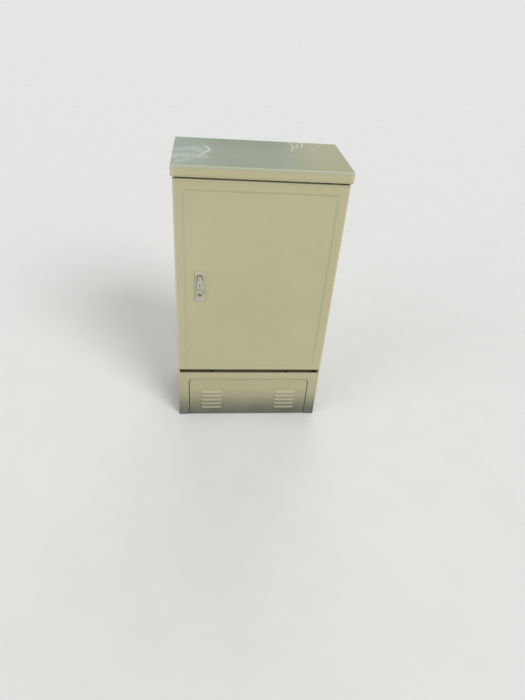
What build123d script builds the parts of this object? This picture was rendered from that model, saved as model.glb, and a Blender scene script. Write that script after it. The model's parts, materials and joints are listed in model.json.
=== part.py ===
from build123d import *
from math import acos, cos, pi, radians, sin, sqrt, tan
import os

# Floor-standing fiber optic cabinet in painted sheet steel, in millimetres.
# +Z is up, the door faces -Y, and the origin is under the middle of the body, on the ground.

# Body
body_width = 570.0
body_depth = 304.0
total_height = 1040.0
sheet = 1.5              # steel sheet of every folded piece
corner_bend = 3.0        # outside radius of the body's vertical corners
hem_width = 7.0          # strip that each side wall shows beside the door
hem_return = 20.0        # how far the hem folds back beside the door
seat = 0.3               # clearance where one piece sits in or on another
run = 0.05               # radial clearance of turning pins
touch = 0.1              # gap between faces that rest on each other
bite = 1.0               # how far two shapes run into each other before they are joined
cut = 5.0                # how far a hole is cut past the sheet it goes through

# Roof
roof_side_overhang = 5.0
roof_end_overhang = 10.8
fascia_height = 36.0
roof_bend = 5.0
roof_round = 4.5         # of the upper edges
channel_height = 16.0    # hat channels between the inner lid and the roof
channel_width = 30.0
channel_flange = 18.0
channel_inset = 105.0    # from the body's side to each channel's middle
channel_margin = 30.0    # from a bolt to the channel's end
roof_bolt_radius = 3.95
roof_bolt_inset = 60.0   # from the body's front and rear
bolt_head_radius = 6.5
bolt_head_height = 5.0
lid_skirt = 10.0
vent_slots = 6
vent_slot_size = (70.0, 6.0)
vent_slot_pitch = 16.0

# Plinth
plinth_height = 225.0
sill_drop = 9.0          # how far the sill lies below the plinth's top edge
rail_show = 4.0          # strip of top rail under the fascia
rail_depth = 29.5
cover_side = 37.0        # from the hem to the plinth cover
cover_top = 187.0
cover_foot = 3.0
cover_seam = 3.0
cover_corner = 16.0
cover_return = 12.0
hook_inset = 169.0       # from the cover's side
hook_width = 30.0
cover_bolt_inset = 91.0
cover_bolt_radius = 2.95
cover_bolt_head = (5.5, 3.0)
ear_width = 26.0
ear_drop = 10.0          # from the sill's underside to the ear's foot
ear_lap = 15.0           # how far the ear reaches down behind the cover
ear_reach = 10.0         # from the bolt to the ear's rear edge
hook_play = 0.5
hook_drop = 12.0
cover_bolt_stand = 8.0   # how far the bolt's tip stands out of the ear
floor_fold = 15.0
base_leg = 40.0
base_foot = 50.0
base_thickness = 4.0
base_setback = 16.0
anchor_inset_x = 35.0    # from the body's sides
anchor_inset_y = 41.0
anchor_radius = 7.0
stile_return = 15.0

# Louvres of the plinth cover
louvre_count = 5
louvre_pitch = 20.7
louvre_lowest = 41.0
louvre_length = 86.0
louvre_height = 9.0
louvre_reach = 6.0
louvre_wall = 1.2
louvre_slope = 6.0       # how much shorter the lip is at each end
louvre_inset = 89.5      # from the cover's side to the middle of each group

# Door
door_top_gap = 5.0
door_bottom_gap = 14.0
door_side_gap = 0.5      # from the body's side to the door's, which covers the body
wall_setback = 26.5      # of the body's sides behind the door
wall_gap = 2.5           # between those cut-back sides and the door, above and below
door_depth = 25.0
door_lip = 25.0
door_bend = 2.0
field_side = 31.5        # from the door's edge to the recessed field
field_bottom = 25.0
field_top = 33.0
field_depth = 2.0
field_slope = 6.5
field_corner = 9.0
frame_setback = 30.0     # front face of the channel ring behind the door
frame_inset = 34.5       # from the door's edge to the ring's opening
frame_depth = 20.0
frame_outer_depth = 15.0 # of the ring's outer fold
frame_top_gap = 2.0
seal_inset = 13.5
seal_width = 10.0

# Concealed pivots at the right edge
pivot_inset = 13.0
pivot_setback = 7.0
pivot_radius = 4.0
block_width = 22.0
block_depth = 14.0
block_height = 14.0
pin_head_radius = 5.0    # also the collar's, clear of the sheet in front of it
pin_head_height = 4.0
pin_below = 3.0          # how far the lower pin stands out under the sill

# Lock
lock_inset = 86.0        # from the body's left side to the lock's middle
hub_above_middle = 34.0  # from the middle of the door's height to the hub
plate_width = 34.0
plate_above = 20.0
plate_below = 97.0
plate_proud = 3.0        # from the recessed field to the plate's face
ridge_height = 2.0       # of the rim round the lever
ridge_margin = 4.0       # from the plate's end to the rim's
plate_corner = 2.0
plate_bevel = 0.8
hub_neck_radius = 9.0
hub_disc_radius = 12.0
hub_disc_height = 1.5
hub_hole_play = 1.0      # round the hub in the door's sheet
lever_width = 20.0
lever_thickness = 6.2
head_radius = 7.5        # of the lever's round head over the hub
shoulder_drop = 13.0     # from the hub to where the lever starts to narrow
neck_drop = 6.0          # and to where it has narrowed to its neck
lever_pin_above = 3.0    # the lever's pin above the middle of the hub
lever_pin_radius = 1.0
lever_pin_half = 5.0     # half of the pin's length
lug_width = 6.0
lug_radius = 2.0
lug_play = 0.2           # round the lug in the lever's back
lever_lift = radians(35) # how far the lever swings out on its pin
lever_round = 1.2
dimples = ((28.0, 5.0, 9.0), (47.0, 7.0, 4.0))  # drop from the hub, width and height
dimple_depth = 1.0
key_drop = 66.0          # from the hub down to the key cylinder
key_radius = 7.0
tongue_reach = 15.2
tongue_width = 6.0
tongue_thickness = 2.0
tongue_play = 0.8        # round the tongue in the lever and the keeper
tongue_lead = 0.4        # between the tongue and what lies behind or beyond it
keeper_height = 10.0
keeper_wall = 1.1
key_proud = 0.5
key_slot = (1.4, 7.0, 3.0)
spindle_size = 7.0
stub_length = 7.0
stub_radius = 2.95
gear_module = 1.5
gear_teeth = 12
gear_width = 4.0
gear_setback = 8.0
gear_backlash = 0.12
tooth_bite = 0.5         # how far a rack tooth runs into its rod
pressure_angle = radians(20)
rod_width = 8.0
rod_end = 24.0           # from the hub's height to the toothed end
upper_rod_reach = 1.0    # how far the upper rod stands out of the door at rest
lower_rod_reach = 12.0
rod_hole_play = 1.0      # round a rod where it enters the rail or the sill
door_rod_play = 0.5
case_half_width = 21.0
case_half_height = 28.0
case_depth = 13.0
case_boss_radius = 7.5
latch_setback = 33.5
latch_thickness = 3.0
latch_length = 62.0
latch_width = 18.0
latch_corner = 5.0
keeper_above = 14.0      # notch in the channel ring that the latch cam turns into
keeper_below = 50.0
guide_near = 130.0       # from the hub to the nearer guides
guide_from_top = 54.0    # from the door's top to the upper one
guide_from_bottom = 92.0
guide_size = (20.0, 12.0, 12.0)
lock_screw_drops = (38.0, 90.0)
lock_screw_radius = 1.95
lock_screw_head = (4.3, 2.5)
nut_radius = 6.5
nut_thickness = 4.0

# Inside of the door
stiffener_from_lock = 69.0
stiffener_from_side = 125.0
stiffener_width = 24.0
stiffener_flange = 10.0
stiffener_depth = 15.0
stiffener_margin = 12.0
pocket_margin = 13.0     # between the pocket and each stiffener
pocket_height = 160.0
pocket_depth = 18.0
pocket_bottom = 420.0
pocket_notch_radius = 35.0

# Splice trays
tray_count = 6
tray_lowest = 450.0
tray_pitch = 50.0
tray_depth = 150.0
tray_height = 24.0
tray_wall = 2.0
tray_setback = 135.0
tray_tab = (40.0, 10.0)   # finger tab under the adapters
tray_play = 0.5
rack_share = 0.22        # of the free width, left of the rack
rack_width = 260.0
rack_front = 120.0
rack_margin = 20.0
ledge_width = 8.0
ledge_margin = 5.0
rack_flange = 15.0
adapter_count = 12
adapter_pitch = 19.0
adapter_size = (12.8, 30.0, 9.3)
adapter_flange = (16.4, 2.0, 12.0)
adapter_proud = 16.0     # from the tray's front to the adapter's face
adapter_play = 0.2       # round the adapter in the tray's front
cap_proud = 6.0          # dust cap in front of the adapter
cap_step = 1.5
cover_sheet = 2.0
guide_ring_radius = 42.0
guide_ring_height = 12.0
guide_ring_spacing = 132.0
guide_ring_shift = 5.0   # behind the tray's middle
comb_size = (32.0, 60.0, 8.0)
comb_slots = 6
comb_pitch = 10.0
comb_slot = 3.0
rim_depth = 4.0
rim_wall = 1.5
finger_radius = 12.0

# Slack storage, cable fixing and earthing
panel_share = 0.345      # of the free width, right of the storage panel
panel_width = 210.0
panel_bottom = 440.0
panel_height = 460.0
panel_setback = 225.0
spool_heights = (80.0, 230.0, 380.0)
spool_radius = 38.0
spool_flange_radius = 56.0
spool_length = 70.0
spool_wall = 3.0
entry_count = 4
entry_pitch = 130.0
entry_setback = 223.0
entry_radius = 22.0
grommet_bore = 12.0
grommet_flange = 4.0
grommet_lip = 3.0
grommet_play = 0.2
clamp_bottom = 330.0
clamp_height = 30.0
clamp_width = 34.0
clamp_bore = 8.0
clamp_corner = 4.0
clamp_split = 1.0        # gap between the two halves
clamp_web = 3.0          # left whole at the foot
clamp_rail_setback = 240.0
clamp_rail_flange = 15.0
earth_bar_length = 240.0
earth_bar_height = 20.0
earth_bar_thickness = 5.0
earth_bar_bottom = 388.0
earth_hole_radius = 4.2
earth_hole_count = 8
earth_hole_pitch = 26.0
insulator_radius = 9.0
insulator_height = 12.0
insulator_margin = 2.0

# Places worked out from the sizes
front = -body_depth / 2
half = body_width / 2
back_inside = body_depth - sheet - seat          # depth of the rear wall's seat
sill_top = plinth_height - sill_drop
side_inside = half - sheet - seat                # half width between the side walls
hem_inside = half - hem_width                    # half width between the hems
lid_top = total_height - sheet - seat - channel_height - seat
lid_bottom = lid_top - sheet
shell_top = lid_bottom - seat
rail_bottom = total_height - fascia_height - rail_show
door_half = half - door_side_gap
door_bottom = plinth_height + door_bottom_gap
door_top = rail_bottom - door_top_gap
field_back = sheet + field_depth                 # inner face of the recessed field
pivot_x = door_half - pivot_inset
lock_x = -half + lock_inset
hub_height = (door_bottom + door_top) / 2 + hub_above_middle
guide_heights_upper = (hub_height + guide_near, door_top - guide_from_top)
guide_heights_lower = (hub_height - guide_near, door_bottom + guide_from_bottom)
stiffener_xs = (lock_x + stiffener_from_lock, half - stiffener_from_side)
stiffener_edge = stiffener_width / 2 + stiffener_flange
pocket_left = stiffener_xs[0] + stiffener_edge + pocket_margin
pocket_right = stiffener_xs[1] - stiffener_edge - pocket_margin
pitch_radius = gear_module * gear_teeth / 2
rack_addendum = 0.7 * gear_module
gear_tip = pitch_radius + rack_addendum
gear_root = pitch_radius - gear_module
rack_root = gear_tip + 0.3 * gear_module
rod_middle = rack_root + rod_width / 2           # from the hub's middle to each rod
plate_face = field_depth - plate_proud
lever_back = plate_face - ridge_height - seat
lever_middle = lever_back - lever_thickness / 2
lever_front = lever_back - lever_thickness
case_front = field_back + seat
case_back = case_front + case_depth
channel_x = half - channel_inset
roof_bolt_depths = (roof_bolt_inset, body_depth - roof_bolt_inset)
cover_half_width = hem_inside - cover_side
cover_bolt_x = cover_half_width - cover_bolt_inset
hook_x = cover_half_width - hook_inset
louvre_x = cover_half_width - louvre_inset
free_width = 2 * side_inside - rack_width - panel_width
rack_left = -side_inside + rack_share * free_width
panel_left = side_inside - panel_share * free_width - panel_width
entry_xs = [(i - (entry_count - 1) / 2) * entry_pitch for i in range(entry_count)]


def block(x0, x1, d0, d1, z0, z1):
    """A block between two corners; depths d are measured back from the body's front plane."""
    middle = Pos((x0 + x1) / 2, front + (d0 + d1) / 2, (z0 + z1) / 2)
    return middle * Box(x1 - x0, d1 - d0, z1 - z0)


def seated(x0, x1, d0, d1, z0, z1):
    """A block whose vertical edges are rounded like the inside of the body's corners."""
    piece = block(x0, x1, d0, d1, z0, z1)
    return fillet(piece.edges().filter_by(Axis.Z), corner_bend - sheet)


def upright(x, d, z0, z1, radius):
    """A vertical cylinder."""
    return Pos(x, front + d, (z0 + z1) / 2) * Cylinder(radius, z1 - z0)


def through(x, z, d0, d1, radius):
    """A cylinder that runs from front to back."""
    return Pos(x, front + (d0 + d1) / 2, z) * Rot(90, 0, 0) * Cylinder(radius, d1 - d0)


def crosswise(d, z, x0, x1, radius):
    """A cylinder that runs from left to right."""
    return Pos((x0 + x1) / 2, front + d, z) * Rot(0, 90, 0) * Cylinder(radius, x1 - x0)


def facing(d):
    """The plane at depth d, seen from the front, with sketch y along Z."""
    return Plane((0, front + d, 0), x_dir=(1, 0, 0), z_dir=(0, -1, 0))


def slab(outline, d0, d1):
    """A front-view outline with thickness from depth d0 to d1."""
    return extrude(facing(d1) * outline, amount=d1 - d0)


def ring(outer, inner, d0, d1):
    """A front-view frame between two outlines."""
    return slab(outer - inner, d0, d1)


def window(half_width, z0, z1, corner=0.0):
    """A rectangle in front view, about the middle of the cabinet."""
    middle = Pos(0, (z0 + z1) / 2)
    if corner > 0:
        return middle * RectangleRounded(2 * half_width, z1 - z0, corner)
    return middle * Rectangle(2 * half_width, z1 - z0)


def door_window(inset):
    """The door's outline, smaller by an inset on every edge."""
    return window(door_half - inset, door_bottom + inset, door_top - inset)


def body_shell():
    """Sides and rear from one sheet, hemmed above and below the door and cut back behind it."""
    outer = RectangleRounded(body_width, body_depth, corner_bend)
    inner = RectangleRounded(body_width - 2 * sheet, body_depth - 2 * sheet, corner_bend - sheet)
    wall = outer - inner
    wall -= Pos(0, front) * Rectangle(2 * hem_inside, 4 * sheet)
    for side in (-1, 1):
        fold = Pos(side * (hem_inside + sheet / 2), front + hem_return / 2)
        wall += fold * Rectangle(sheet, hem_return)
    shell = extrude(wall, amount=shell_top)
    for side in (-1, 1):
        a, b = sorted((side * (hem_inside - bite), side * (half + bite)))
        shell -= block(a, b, -bite, wall_setback, door_bottom - wall_gap, door_top + wall_gap)
    return shell


def roof_cap():
    """Folded lid with a fascia on all four sides, open below."""
    width = body_width + 2 * roof_side_overhang
    depth = body_depth + 2 * roof_end_overhang
    fascia_bottom = total_height - fascia_height
    start = Pos(0, 0, fascia_bottom)
    cap = extrude(start * RectangleRounded(width, depth, roof_bend), amount=fascia_height)
    cap = fillet(cap.faces().sort_by(Axis.Z)[-1].edges(), roof_round)
    room = start * RectangleRounded(width - 2 * sheet, depth - 2 * sheet, roof_bend - sheet)
    hollow = extrude(room, amount=fascia_height - sheet)
    hollow = fillet(hollow.faces().sort_by(Axis.Z)[-1].edges(), roof_round - sheet)
    return cap - hollow


def roof_bolt_places():
    """X and depth of the four bolts through the channels' outer flanges."""
    offset = channel_x + (channel_width + channel_flange) / 2
    return [(side * offset, d) for side in (-1, 1) for d in roof_bolt_depths]


def roof_channels():
    """Two hat channels that carry the roof on the inner lid, with weld nuts."""
    z0 = lid_top + seat
    z1 = z0 + channel_height
    start = roof_bolt_depths[0] - channel_margin
    end = roof_bolt_depths[1] + channel_margin
    hats = []
    for side in (-1, 1):
        x = side * channel_x
        w = channel_width / 2
        hat = block(x - w, x + w, start, end, z0, z1)
        hat -= block(x - w + sheet, x + w - sheet, start, end, z0, z1 - sheet)
        for edge in (-1, 1):
            a, b = sorted((x + edge * (w - sheet), x + edge * (w + channel_flange)))
            hat += block(a, b, start, end, z0, z0 + sheet)
        for bolt_x, d in roof_bolt_places():
            if bolt_x * side > 0:
                nut = z0 + sheet
                hat += upright(bolt_x, d, nut, nut + bolt_head_height, bolt_head_radius)
                hat -= upright(bolt_x, d, z0, z0 + channel_height, roof_bolt_radius + run)
        hats.append(hat)
    return hats


def roof_bolts():
    """Four bolts from below, so that the roof can't be taken off from outside."""
    bolts = []
    for x, d in roof_bolt_places():
        head = upright(x, d, lid_bottom - seat - bolt_head_height, lid_bottom - seat, bolt_head_radius)
        tip = lid_top + seat + sheet + bolt_head_height + bite
        bolts.append(head + upright(x, d, lid_bottom - seat - bite, tip, roof_bolt_radius))
    return bolts


def top_panel():
    """Inner lid that closes the body, with vent slots under the roof cap."""
    lid = block(-half, half, 0, body_depth, lid_bottom, lid_top)
    start = frame_setback + frame_depth + seat
    skirt = seated(-side_inside, side_inside, start, back_inside, lid_bottom - lid_skirt, lid_bottom)
    skirt -= block(-side_inside + sheet, side_inside - sheet, 0, back_inside - sheet,
                   lid_bottom - lid_skirt, lid_bottom)
    lid += skirt
    for x, d in roof_bolt_places():
        lid -= upright(x, d, lid_bottom - cut, lid_top + cut, roof_bolt_radius + seat)
    length, width = vent_slot_size
    for i in range(vent_slots):
        d = body_depth / 2 + (i - (vent_slots - 1) / 2) * vent_slot_pitch
        lid -= block(-length, length, d - width / 2, d + width / 2, lid_bottom, lid_top)
    return lid


def rod_slot(side, z0, z1, margin):
    """The hole that a lock rod passes through, beside the hub."""
    x = lock_x + side * rod_middle
    w = rod_width / 2 + margin
    return block(x - w, x + w, gear_setback - margin, gear_setback + gear_width + margin, z0, z1)


def top_rail():
    """Front member above the door: it shows under the fascia and holds the upper pivot."""
    w = hem_inside - seat
    rail = block(-w, w, 0, sheet, rail_bottom, shell_top)
    rail += block(-w, w, 0, rail_depth, rail_bottom, rail_bottom + sheet)
    rail += block(-w, w, rail_depth - sheet, rail_depth, rail_bottom, shell_top)
    rail -= upright(pivot_x, pivot_setback, rail_bottom - cut, rail_bottom + cut, pivot_radius + run)
    return rail - rod_slot(-1, rail_bottom - cut, rail_bottom + cut, rod_hole_play)


def front_frame():
    """Channel ring behind the door: the seal closes on its front face."""
    low = plinth_height + seat
    high = shell_top - frame_top_gap
    outer = window(side_inside, low, high)
    outer_in = window(side_inside - sheet, low + sheet, high - sheet)
    inner = door_window(frame_inset)
    inner_out = door_window(frame_inset - sheet)
    face_back = frame_setback + sheet
    frame = ring(outer, inner, frame_setback, face_back)
    frame += ring(inner_out, inner, face_back, frame_setback + frame_depth)
    frame += ring(outer, outer_in, face_back, frame_setback + frame_outer_depth)
    edge = -door_half + frame_inset
    keeper = block(edge - 2 * sheet, edge + sheet, face_back, frame_setback + frame_depth,
                   hub_height - keeper_below, hub_height + keeper_above)
    return frame - keeper


def plinth_frame():
    """Fixed front sheet of the plinth with the opening for the cover, and the sill above it."""
    w = hem_inside - seat
    corner = cover_corner + cover_seam
    opening = window(cover_half_width + cover_seam, -2 * corner, cover_top + cover_seam, corner)
    frame = slab(window(w, 0, plinth_height) - opening, 0, sheet)
    frame += block(-w, w, 0, frame_setback + sheet, sill_top - sheet, sill_top)
    for side in (-1, 1):
        a, b = sorted((side * w, side * (w - sheet)))
        frame += block(a, b, 0, stile_return, 0, sill_top)
        frame -= upright(side * cover_bolt_x, base_setback, sill_top - cut, sill_top + cut,
                         cover_bolt_radius + seat)
    frame -= upright(pivot_x, pivot_setback, sill_top - cut, sill_top + cut, pivot_radius + run)
    return frame - rod_slot(1, sill_top - cut, sill_top + cut, rod_hole_play)


def louvre(x, z):
    """One pressed hood and the slot behind it, open below: (hood, cut)."""
    def bevel(length, height, drop, d0, d1, lip):
        root = facing(d0) * Pos(x, z - drop) * Rectangle(length, height)
        lip_z = z - drop - (height - lip) / 2
        tip = facing(d1) * Pos(x, lip_z) * Rectangle(length - 2 * louvre_slope, lip)
        return loft([root, tip])

    hood = bevel(louvre_length, louvre_height, 0, 0, -louvre_reach, 2 * louvre_wall)
    room = bevel(louvre_length - 2 * louvre_wall, louvre_height, louvre_wall, 0.01,
                 -louvre_reach + louvre_wall, 2 * louvre_wall)
    slot = block(x - louvre_length / 2 + louvre_slope, x + louvre_length / 2 - louvre_slope,
                 -0.01, sheet, z - louvre_height / 2, z + louvre_height / 2 - 2 * louvre_wall)
    return hood, room + slot


def cover_ear(side):
    """Ear that rises behind the plinth's header and takes a bolt from the sill."""
    x = side * cover_bolt_x
    w = ear_width / 2
    foot = sill_top - sheet - ear_drop
    ear = block(x - w, x + w, sheet + seat, 2 * sheet + seat, cover_top - ear_lap, foot)
    ear += block(x - w, x + w, sheet + seat, base_setback + ear_reach, foot - sheet, foot)
    ear += block(x - w, x + w, sheet / 2, 2 * sheet, cover_top - ear_lap, cover_top - sheet)
    return ear - upright(x, base_setback, foot - cut, foot + cut, cover_bolt_radius + run)


def cover_hook(side):
    """Hook that hangs the cover on the base frame's front leg."""
    x = side * hook_x
    w = hook_width / 2
    z = base_leg + seat
    behind = base_setback + base_thickness + hook_play
    hook = block(x - w, x + w, sheet / 2, behind + sheet, z, z + sheet)
    return hook + block(x - w, x + w, behind, behind + sheet, z - hook_drop, z + sheet)


def plinth_cover():
    """Removable front cover of the plinth, pressed with two groups of louvres."""
    def outline(inset):
        low = cover_foot + inset
        high = cover_top - inset
        shape = window(cover_half_width - inset, low, high)
        tops = shape.vertices().group_by(Axis.Y)[-1]
        return fillet(tops, cover_corner - inset)

    cover = slab(outline(0), 0, cover_return) - slab(outline(sheet), sheet, cover_return)
    hoods = []
    cuts = []
    for side in (-1, 1):
        cover += cover_ear(side)
        cover += cover_hook(side)
        for i in range(louvre_count):
            hood, cut = louvre(side * louvre_x, louvre_lowest + i * louvre_pitch)
            hoods.append(hood)
            cuts.append(cut)
    for hood, cut in zip(hoods, cuts):
        cover = cover + hood - cut
    return cover


def cover_bolts():
    """Two bolts down through the sill, reached only with the door open."""
    bolts = []
    foot = sill_top - sheet - ear_drop
    under = sill_top + seat
    radius, height = cover_bolt_head
    for side in (-1, 1):
        x = side * cover_bolt_x
        head = upright(x, base_setback, under, under + height, radius)
        shank = upright(x, base_setback, foot - cover_bolt_stand, under + bite, cover_bolt_radius)
        bolts.append(head + shank)
    return bolts


def base_frame():
    """Welded angle ring on the ground with the four anchor holes."""
    w = side_inside
    ring_foot = seated(-w, w, base_setback, back_inside, 0, base_thickness)
    ring_foot -= block(-w + base_foot, w - base_foot, base_setback + base_foot,
                       back_inside - base_foot, 0, base_thickness)
    t = base_thickness
    leg = seated(-w, w, base_setback, back_inside, 0, base_leg)
    leg -= block(-w + t, w - t, base_setback + t, back_inside - t, 0, base_leg)
    frame = ring_foot + leg
    for side in (-1, 1):
        a, b = sorted((side * (hem_inside - seat), side * (w + bite)))
        frame -= block(a, b, base_setback, hem_return + seat, 0, base_leg)
        for end in (-1, 1):
            x = side * (half - anchor_inset_x)
            d = body_depth / 2 + end * (body_depth / 2 - anchor_inset_y)
            frame -= upright(x, d, -cut, base_thickness + cut, anchor_radius)
    return frame


def floor_plate():
    """Cable entry plate between the plinth and the equipment bay, folded down at its edges."""
    start = frame_setback + sheet + seat
    low = plinth_height - floor_fold
    plate = seated(-side_inside, side_inside, start, back_inside, low, plinth_height)
    plate -= block(-side_inside + sheet, side_inside - sheet, start + sheet, back_inside - sheet,
                   low, plinth_height - sheet)
    for x in entry_xs:
        plate -= upright(x, entry_setback, plinth_height - cut, plinth_height + cut, entry_radius)
    return plate


def cable_grommets():
    """Rubber rings that grip the edge of each cable entry."""
    rings = []
    for x in entry_xs:
        z = plinth_height - sheet
        outer = entry_radius + grommet_flange
        body = upright(x, entry_setback, z - grommet_lip - touch, z - touch, outer)
        body += upright(x, entry_setback, z - bite, z + sheet + bite, entry_radius - grommet_play)
        body += upright(x, entry_setback, z + sheet + touch, z + sheet + grommet_lip + touch, outer)
        rings.append(body - upright(x, entry_setback, z - 2 * cut, z + 2 * cut, grommet_bore))
    return rings


def field_outline(grow):
    """The recessed field's outline, grown or shrunk on every edge."""
    return window(door_half - field_side + grow, door_bottom + field_bottom - grow,
                  door_top - field_top + grow, field_corner)


def field_recess(d):
    """The tapered volume of the field, starting at depth d."""
    deep = facing(d + field_depth) * field_outline(-field_slope)
    return loft([facing(d) * field_outline(0), deep])


def door_panel():
    """Folded door tray with a shallow recessed field and inward lips."""
    door = slab(door_window(0), 0, door_depth)
    door = fillet(door.faces().sort_by(Axis.Y)[0].edges(), door_bend)
    door -= slab(door_window(sheet), sheet, door_depth - sheet)
    door -= slab(door_window(door_lip), door_depth - sheet, door_depth)
    door = door + field_recess(sheet) - field_recess(0)
    door -= rod_slot(-1, door_top - cut, door_top + cut, door_rod_play)
    door -= rod_slot(1, door_bottom - cut, door_bottom + cut, door_rod_play)
    for z in (door_bottom, door_top):
        door -= upright(pivot_x, pivot_setback, z - cut, z + cut, pivot_radius + door_rod_play)
    door -= through(lock_x, hub_height, 0, field_back + bite, hub_neck_radius + hub_hole_play)
    for drop in lock_screw_drops:
        door -= through(lock_x, hub_height - drop, 0, field_back + bite, lock_screw_radius + seat)
    return door


def door_seal():
    """Foam ring on the door's lips."""
    outer = door_window(seal_inset)
    inner = door_window(seal_inset + seal_width)
    return ring(outer, inner, door_depth + touch, frame_setback - seat)


def hinge_block(z0):
    """Steel block in the door's corner with the pivot bore."""
    w = block_width / 2
    start = sheet + seat
    z1 = z0 + block_height
    piece = block(pivot_x - w, pivot_x + w, start, start + block_depth, z0, z1)
    return piece - upright(pivot_x, pivot_setback, z0 - cut, z1 + cut, pivot_radius + run)


def hinge_blocks():
    """Lower and upper block, against the door's folded edges."""
    low = door_bottom + sheet + seat
    high = door_top - sheet - seat - block_height
    return hinge_block(low), hinge_block(high)


def hinge_pin_upper():
    """Pin that drops through the top rail into the door, with its head on the rail."""
    tip = door_top - sheet - block_height
    seat_z = rail_bottom + sheet + seat
    pin = upright(pivot_x, pivot_setback, tip, seat_z + bite, pivot_radius)
    return pin + upright(pivot_x, pivot_setback, seat_z, seat_z + pin_head_height, pin_head_radius)


def hinge_pin_lower():
    """Pin that stands in the sill, with the collar that carries the door."""
    tip = door_bottom + sheet + block_height
    pin = upright(pivot_x, pivot_setback, sill_top - sheet - pin_below, tip, pivot_radius)
    return pin + upright(pivot_x, pivot_setback, sill_top + touch, door_bottom - seat, pin_head_radius)


def door_stiffeners():
    """Two hat sections up the inside of the door."""
    z0 = door_bottom + field_bottom + stiffener_margin
    z1 = door_top - field_top - stiffener_margin
    start = field_back + seat
    hats = []
    for x in stiffener_xs:
        w = stiffener_width / 2
        hat = block(x - w, x + w, start, start + stiffener_depth, z0, z1)
        hat -= block(x - w + sheet, x + w - sheet, start, start + stiffener_depth - sheet, z0, z1)
        for edge in (-1, 1):
            a, b = sorted((x + edge * (w - sheet), x + edge * (w + stiffener_flange)))
            hat += block(a, b, start, start + sheet, z0, z1)
        hats.append(hat)
    return hats


def document_pocket():
    """Open-topped pocket on the inside of the door."""
    start = field_back + seat
    x0, x1 = pocket_left, pocket_right
    z0, z1 = pocket_bottom, pocket_bottom + pocket_height
    pocket = block(x0, x1, start, start + pocket_depth, z0, z1)
    pocket -= block(x0 + sheet, x1 - sheet, start + sheet, start + pocket_depth - sheet, z0 + sheet, z1)
    face = start + pocket_depth
    notch = through((x0 + x1) / 2, z1, face - 2 * sheet, face + sheet, pocket_notch_radius)
    return pocket - notch


def rim_outline():
    """The room that the plate's rim leaves round the lever and the hub's disc, in front view."""
    key_z = hub_height - key_drop
    inner = lever_width / 2 + tongue_play
    room = Pos(lock_x, (key_z + hub_height) / 2) * Rectangle(2 * inner, key_drop)
    room += Pos(lock_x, key_z) * Circle(inner)
    return room + Pos(lock_x, hub_height) * Circle(hub_disc_radius + seat)


def lock_plate():
    """Zinc plate with a rim round the lever, a round hub bore and a keeper for the key's tongue."""
    w = plate_width / 2
    z0 = hub_height - plate_below
    z1 = hub_height + plate_above
    plate = block(lock_x - w, lock_x + w, plate_face, field_depth - seat, z0, z1)
    plate = fillet(plate.edges().filter_by(Axis.Y), plate_corner)
    plate = chamfer(plate.faces().sort_by(Axis.Y)[0].edges(), plate_bevel)
    rim = block(lock_x - w + plate_bevel, lock_x + w - plate_bevel, lever_back + seat, plate_face + bite,
                z0 + ridge_margin, z1 - ridge_margin)
    rim = fillet(rim.edges().filter_by(Axis.Y), plate_corner)
    plate += rim - slab(rim_outline(), lever_back, plate_face)
    key_z = hub_height - key_drop
    k = keeper_height / 2
    inner = lever_width / 2 + tongue_play
    post_x = lock_x + tongue_reach + tongue_lead
    roof = lever_back - tongue_thickness - tongue_play
    wall = roof - keeper_wall
    plate += block(post_x, lock_x + w, wall, plate_face + bite, key_z - k, key_z + k)
    plate += block(lock_x + inner, lock_x + w, wall, roof, key_z - k, key_z + k)
    plate -= through(lock_x, hub_height, plate_face - bite, field_depth + bite, hub_neck_radius + run)
    for drop in lock_screw_drops:
        z = hub_height - drop
        plate -= through(lock_x, z, plate_face + bite, field_depth + bite, lock_screw_radius + run)
    return plate


def lock_hub():
    """Turned hub with the lever's lug in front, and the square spindle behind."""
    disc_back = plate_face - seat
    disc_front = disc_back - hub_disc_height
    hub = through(lock_x, hub_height, disc_front, disc_back, hub_disc_radius)
    hub += through(lock_x, hub_height, disc_back - bite, gear_setback - seat, hub_neck_radius)
    pin_z = hub_height + lever_pin_above
    w = lug_width / 2
    hub += block(lock_x - w, lock_x + w, lever_middle, disc_front + bite,
                 pin_z - lug_radius, pin_z + lug_radius)
    hub += crosswise(lever_middle, pin_z, lock_x - w, lock_x + w, lug_radius)
    s = spindle_size / 2
    square_end = latch_setback + latch_thickness - seat
    hub += block(lock_x - s, lock_x + s, gear_setback - bite, square_end, hub_height - s, hub_height + s)
    hub += through(lock_x, hub_height, square_end - bite, square_end + stub_length, stub_radius)
    return hub - lever_pin_bore()


def lever_pin_bore():
    """The hole for the lever's pin."""
    pin_z = hub_height + lever_pin_above
    w = lever_width
    return crosswise(lever_middle, pin_z, lock_x - w, lock_x + w, lever_pin_radius + run)


def lever_outline():
    """Front view of the lever: round key end, straight shank, shoulders, neck and round head."""
    key_z = hub_height - key_drop
    shoulder_z = hub_height - shoulder_drop
    neck_z = hub_height - neck_drop
    head_z = hub_height + lever_pin_above + lever_thickness / 2 - head_radius
    w = lever_width / 2
    n = head_radius
    points = [(-w, key_z), (-w, shoulder_z), (-n, neck_z), (-n, head_z),
              (n, head_z), (n, neck_z), (w, shoulder_z), (w, key_z)]
    outline = Pos(lock_x, 0) * make_face(Polyline(*points, close=True))
    outline += Pos(lock_x, key_z) * Circle(w)
    return outline + Pos(lock_x, head_z) * Circle(n)


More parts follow.
